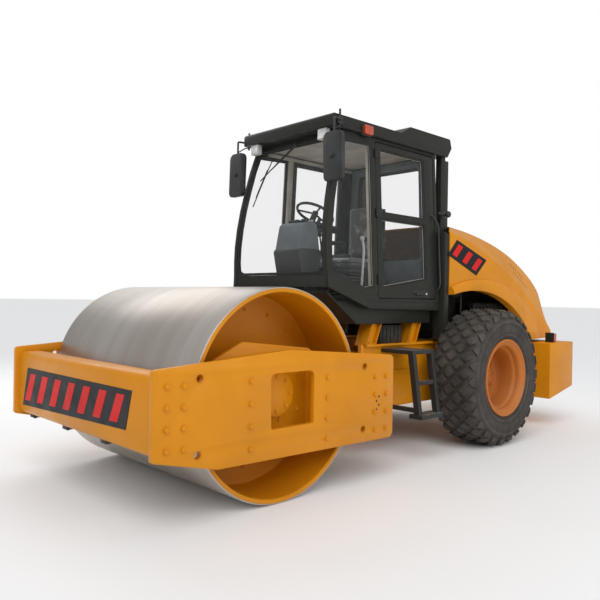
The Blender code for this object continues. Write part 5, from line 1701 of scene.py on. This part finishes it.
def area_light(name, place, aim, width, power):
    data = bpy.data.lights.new(name, "AREA")
    data.shape = "RECTANGLE"
    data.size = data.size_y = width
    data.energy = power
    made = bpy.data.objects.new(name, data)
    made.location = place
    made.rotation_euler = (Vector(aim) - Vector(place)).to_track_quat("-Z", "Y").to_euler()
    bpy.context.scene.collection.objects.link(made)


class ROLLER_OT_studio(bpy.types.Operator):
    """Makes the floor, the lights and the camera"""
    bl_idname = "roller.studio"
    bl_label = "Studio"

    def execute(self, context):
        studio = context.scene.roller_studio
        half = studio.floor_size / 2
        mesh = bpy.data.meshes.new("floor")
        mesh.from_pydata([(-half, -half, 0), (half, -half, 0), (half, half, 0), (-half, half, 0)], [], [(0, 1, 2, 3)])
        floor = shown("floor", mesh)
        pale = Finish("pale_floor", (0.95, 0.95, 0.95), 0.7)
        pale.roughness(pale.ramp(pale.noise(0.7), (0.3, 0.62), (0.7, 0.78)))
        mesh.materials.append(pale.material)

        world = bpy.data.worlds.new("studio")
        world.use_nodes = True
        nodes, links = world.node_tree.nodes, world.node_tree.links
        fill, backdrop = nodes["Background"], nodes.new("ShaderNodeBackground")
        fill.inputs["Color"].default_value = (0.97, 0.985, 1.0, 1.0)
        fill.inputs["Strength"].default_value = studio.fill
        backdrop.inputs["Color"].default_value = (1.0, 1.0, 1.0, 1.0)
        seen, mix = nodes.new("ShaderNodeLightPath"), nodes.new("ShaderNodeMixShader")
        links.new(seen.outputs["Is Camera Ray"], mix.inputs[0])
        links.new(fill.outputs[0], mix.inputs[1])
        links.new(backdrop.outputs[0], mix.inputs[2])
        links.new(mix.outputs[0], nodes["World Output"].inputs["Surface"])
        context.scene.world = world
        context.scene.view_settings.view_transform = "Standard"
        sun = bpy.data.lights.new("key", "SUN")
        sun.energy, sun.angle = 1.35 * studio.brightness, math.radians(50.0)
        key = bpy.data.objects.new("key", sun)
        key.rotation_euler = Vector((0.42, -0.50, 0.76)).to_track_quat("Z", "Y").to_euler()
        context.scene.collection.objects.link(key)
        area_light("side", (7.5, 0.5, 3.5), (0, -0.5, 1.0), 4.0, 90 * studio.brightness)
        area_light("back", (-6.0, -0.15, 7.0), (0, -1.8, 1.2), 6.0, 190 * studio.brightness)

        data = bpy.data.cameras.new("camera")
        data.lens = studio.lens
        camera = bpy.data.objects.new("camera", data)
        camera.location = CAMERA_PLACE
        camera.rotation_euler = (Matrix.Rotation(CAMERA_HEADING, 3, "Z")
                                 @ Matrix.Rotation(math.pi / 2 + CAMERA_TILT, 3, "X")
                                 @ Matrix.Rotation(CAMERA_ROLL, 3, "Z")).to_euler()
        context.scene.collection.objects.link(camera)
        context.scene.camera = camera
        return {"FINISHED"}


# ---------------------------------------------------------------- add-on

STEPS = (ROLLER_OT_finishes, ROLLER_OT_drum_frame, ROLLER_OT_front_panel, ROLLER_OT_drum, ROLLER_OT_wheels,
         ROLLER_OT_rear_frame, ROLLER_OT_bonnet, ROLLER_OT_cab, ROLLER_OT_roof, ROLLER_OT_cab_inside, ROLLER_OT_seat,
         ROLLER_OT_studio)


class ROLLER_PT_panel(bpy.types.Panel):
    """Lists the roller's steps"""
    bl_idname = "ROLLER_PT_panel"
    bl_label = "Road Roller"
    bl_space_type = "VIEW_3D"
    bl_region_type = "UI"
    bl_category = "Roller"

    def draw(self, context):
        scene = context.scene
        for group in (scene.roller_colours, scene.roller_sizes, scene.roller_studio):
            for name in group.bl_rna.properties.keys():
                if name not in {"rna_type", "name"}:
                    self.layout.prop(group, name)
        for step in STEPS:
            self.layout.operator(step.bl_idname)


CLASSES = (RollerColours, RollerSizes, RollerStudio, *STEPS, ROLLER_PT_panel)


def register():
    for made in CLASSES:
        bpy.utils.register_class(made)
    bpy.types.Scene.roller_colours = bpy.props.PointerProperty(type=RollerColours)
    bpy.types.Scene.roller_sizes = bpy.props.PointerProperty(type=RollerSizes)
    bpy.types.Scene.roller_studio = bpy.props.PointerProperty(type=RollerStudio)


def unregister():
    del bpy.types.Scene.roller_studio
    del bpy.types.Scene.roller_sizes
    del bpy.types.Scene.roller_colours
    for made in reversed(CLASSES):
        bpy.utils.unregister_class(made)


def main():
    register()
    for step in STEPS:
        group, name = step.bl_idname.split(".")
        getattr(getattr(bpy.ops, group), name)()


if __name__ == "__main__":
    main()
